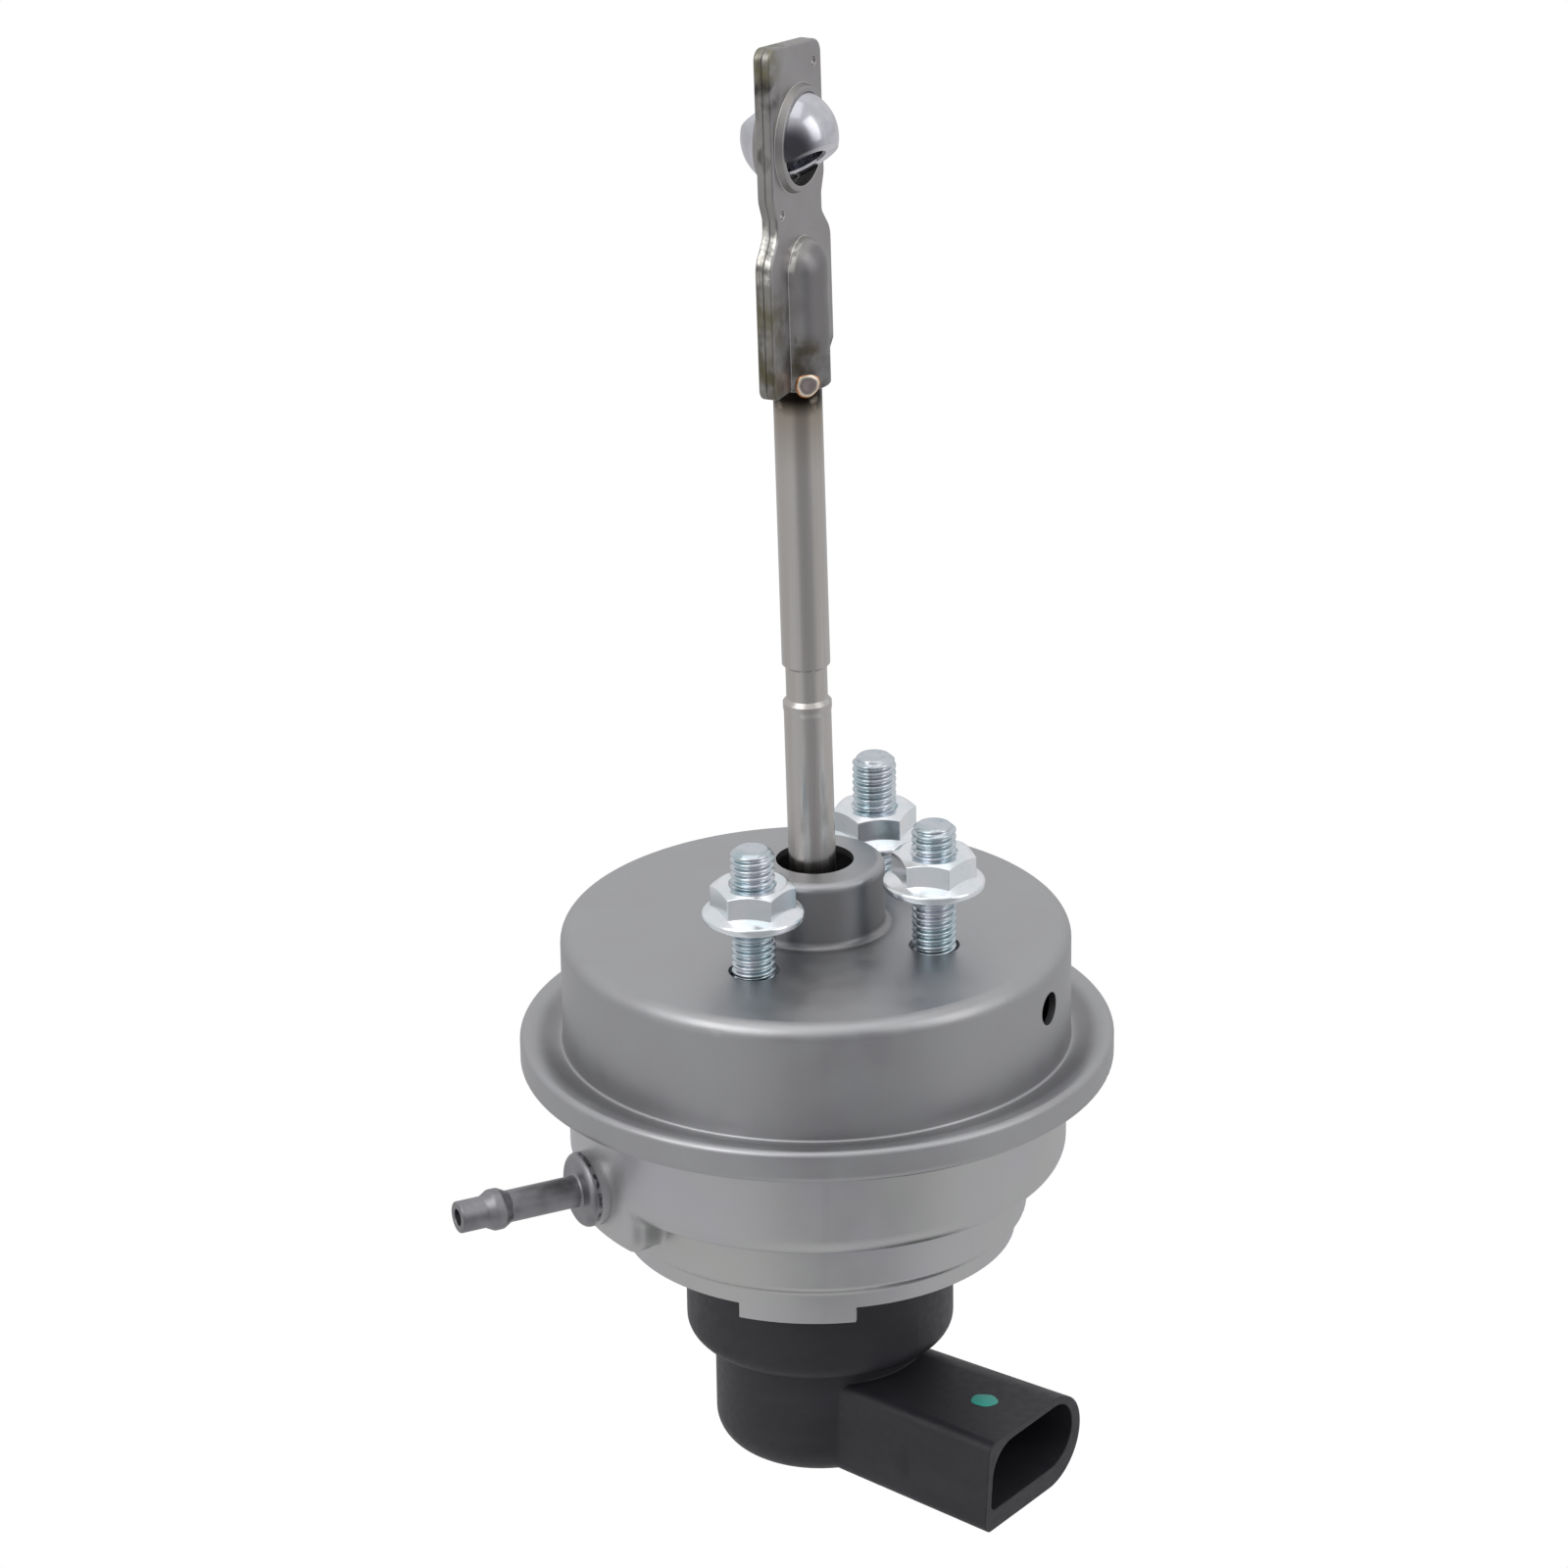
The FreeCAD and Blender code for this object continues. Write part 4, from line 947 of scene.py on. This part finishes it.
camera_data = bpy.data.cameras.new("camera")
camera_data.sensor_width = SENSOR
camera_data.lens = FOCAL_PIXELS / IMAGE * SENSOR
camera_data.shift_x = -(ORIGIN_PIXEL[0] - IMAGE / 2.0) / IMAGE
camera_data.shift_y = (ORIGIN_PIXEL[1] - IMAGE / 2.0) / IMAGE
camera_data.clip_start = 0.01
camera = bpy.data.objects.new("camera", camera_data)
bpy.context.scene.collection.objects.link(camera)
bpy.context.scene.camera = camera
azimuth, elevation = math.radians(AZIMUTH), math.radians(ELEVATION)
towards_camera = Vector((math.cos(elevation) * math.sin(azimuth), -math.cos(elevation) * math.cos(azimuth),
                         math.sin(elevation)))
aim = towards_camera.to_track_quat("Z", "Y").to_matrix().to_4x4()
roll = Matrix.Rotation(math.radians(ROLL), 4, "Z")
camera.matrix_world = Matrix.Translation(towards_camera * DISTANCE * MM) @ aim @ roll
bpy.context.scene.view_settings.view_transform = "Standard"
print("camera at", [round(c, 3) for c in camera.location])

# %% [markdown]
# ## Lights
# Soft boxes round the object: a large one over the camera's left shoulder, one on the
# right and one overhead.

# %%
AIM_HEIGHT = 0.02


def soft_box(name, angle, height, distance, size, watts):
    """An area light at an angle round from the camera, in degrees, aimed just above the can."""
    data = bpy.data.lights.new(name, "AREA")
    data.shape = "RECTANGLE"
    data.size, data.size_y = size
    data.energy = watts
    data.color = linear("#ffffff")[:3]
    light = bpy.data.objects.new(name, data)
    bpy.context.scene.collection.objects.link(light)
    turn = azimuth + math.radians(angle)
    stand = Vector((math.sin(turn) * distance, -math.cos(turn) * distance, height))
    towards = Vector((0.0, 0.0, AIM_HEIGHT)) - stand
    aimed = towards.to_track_quat("-Z", "Y").to_matrix().to_4x4()
    light.matrix_world = Matrix.Translation(stand) @ aimed


soft_box("key", -50.0, 0.75, 0.8, (0.7, 0.7), 2.5)
soft_box("side", 65.0, 0.5, 0.9, (0.5, 0.9), 1.2)
soft_box("top", 0.0, 1.1, 0.05, (0.9, 0.9), 1.0)
print("lights ready")
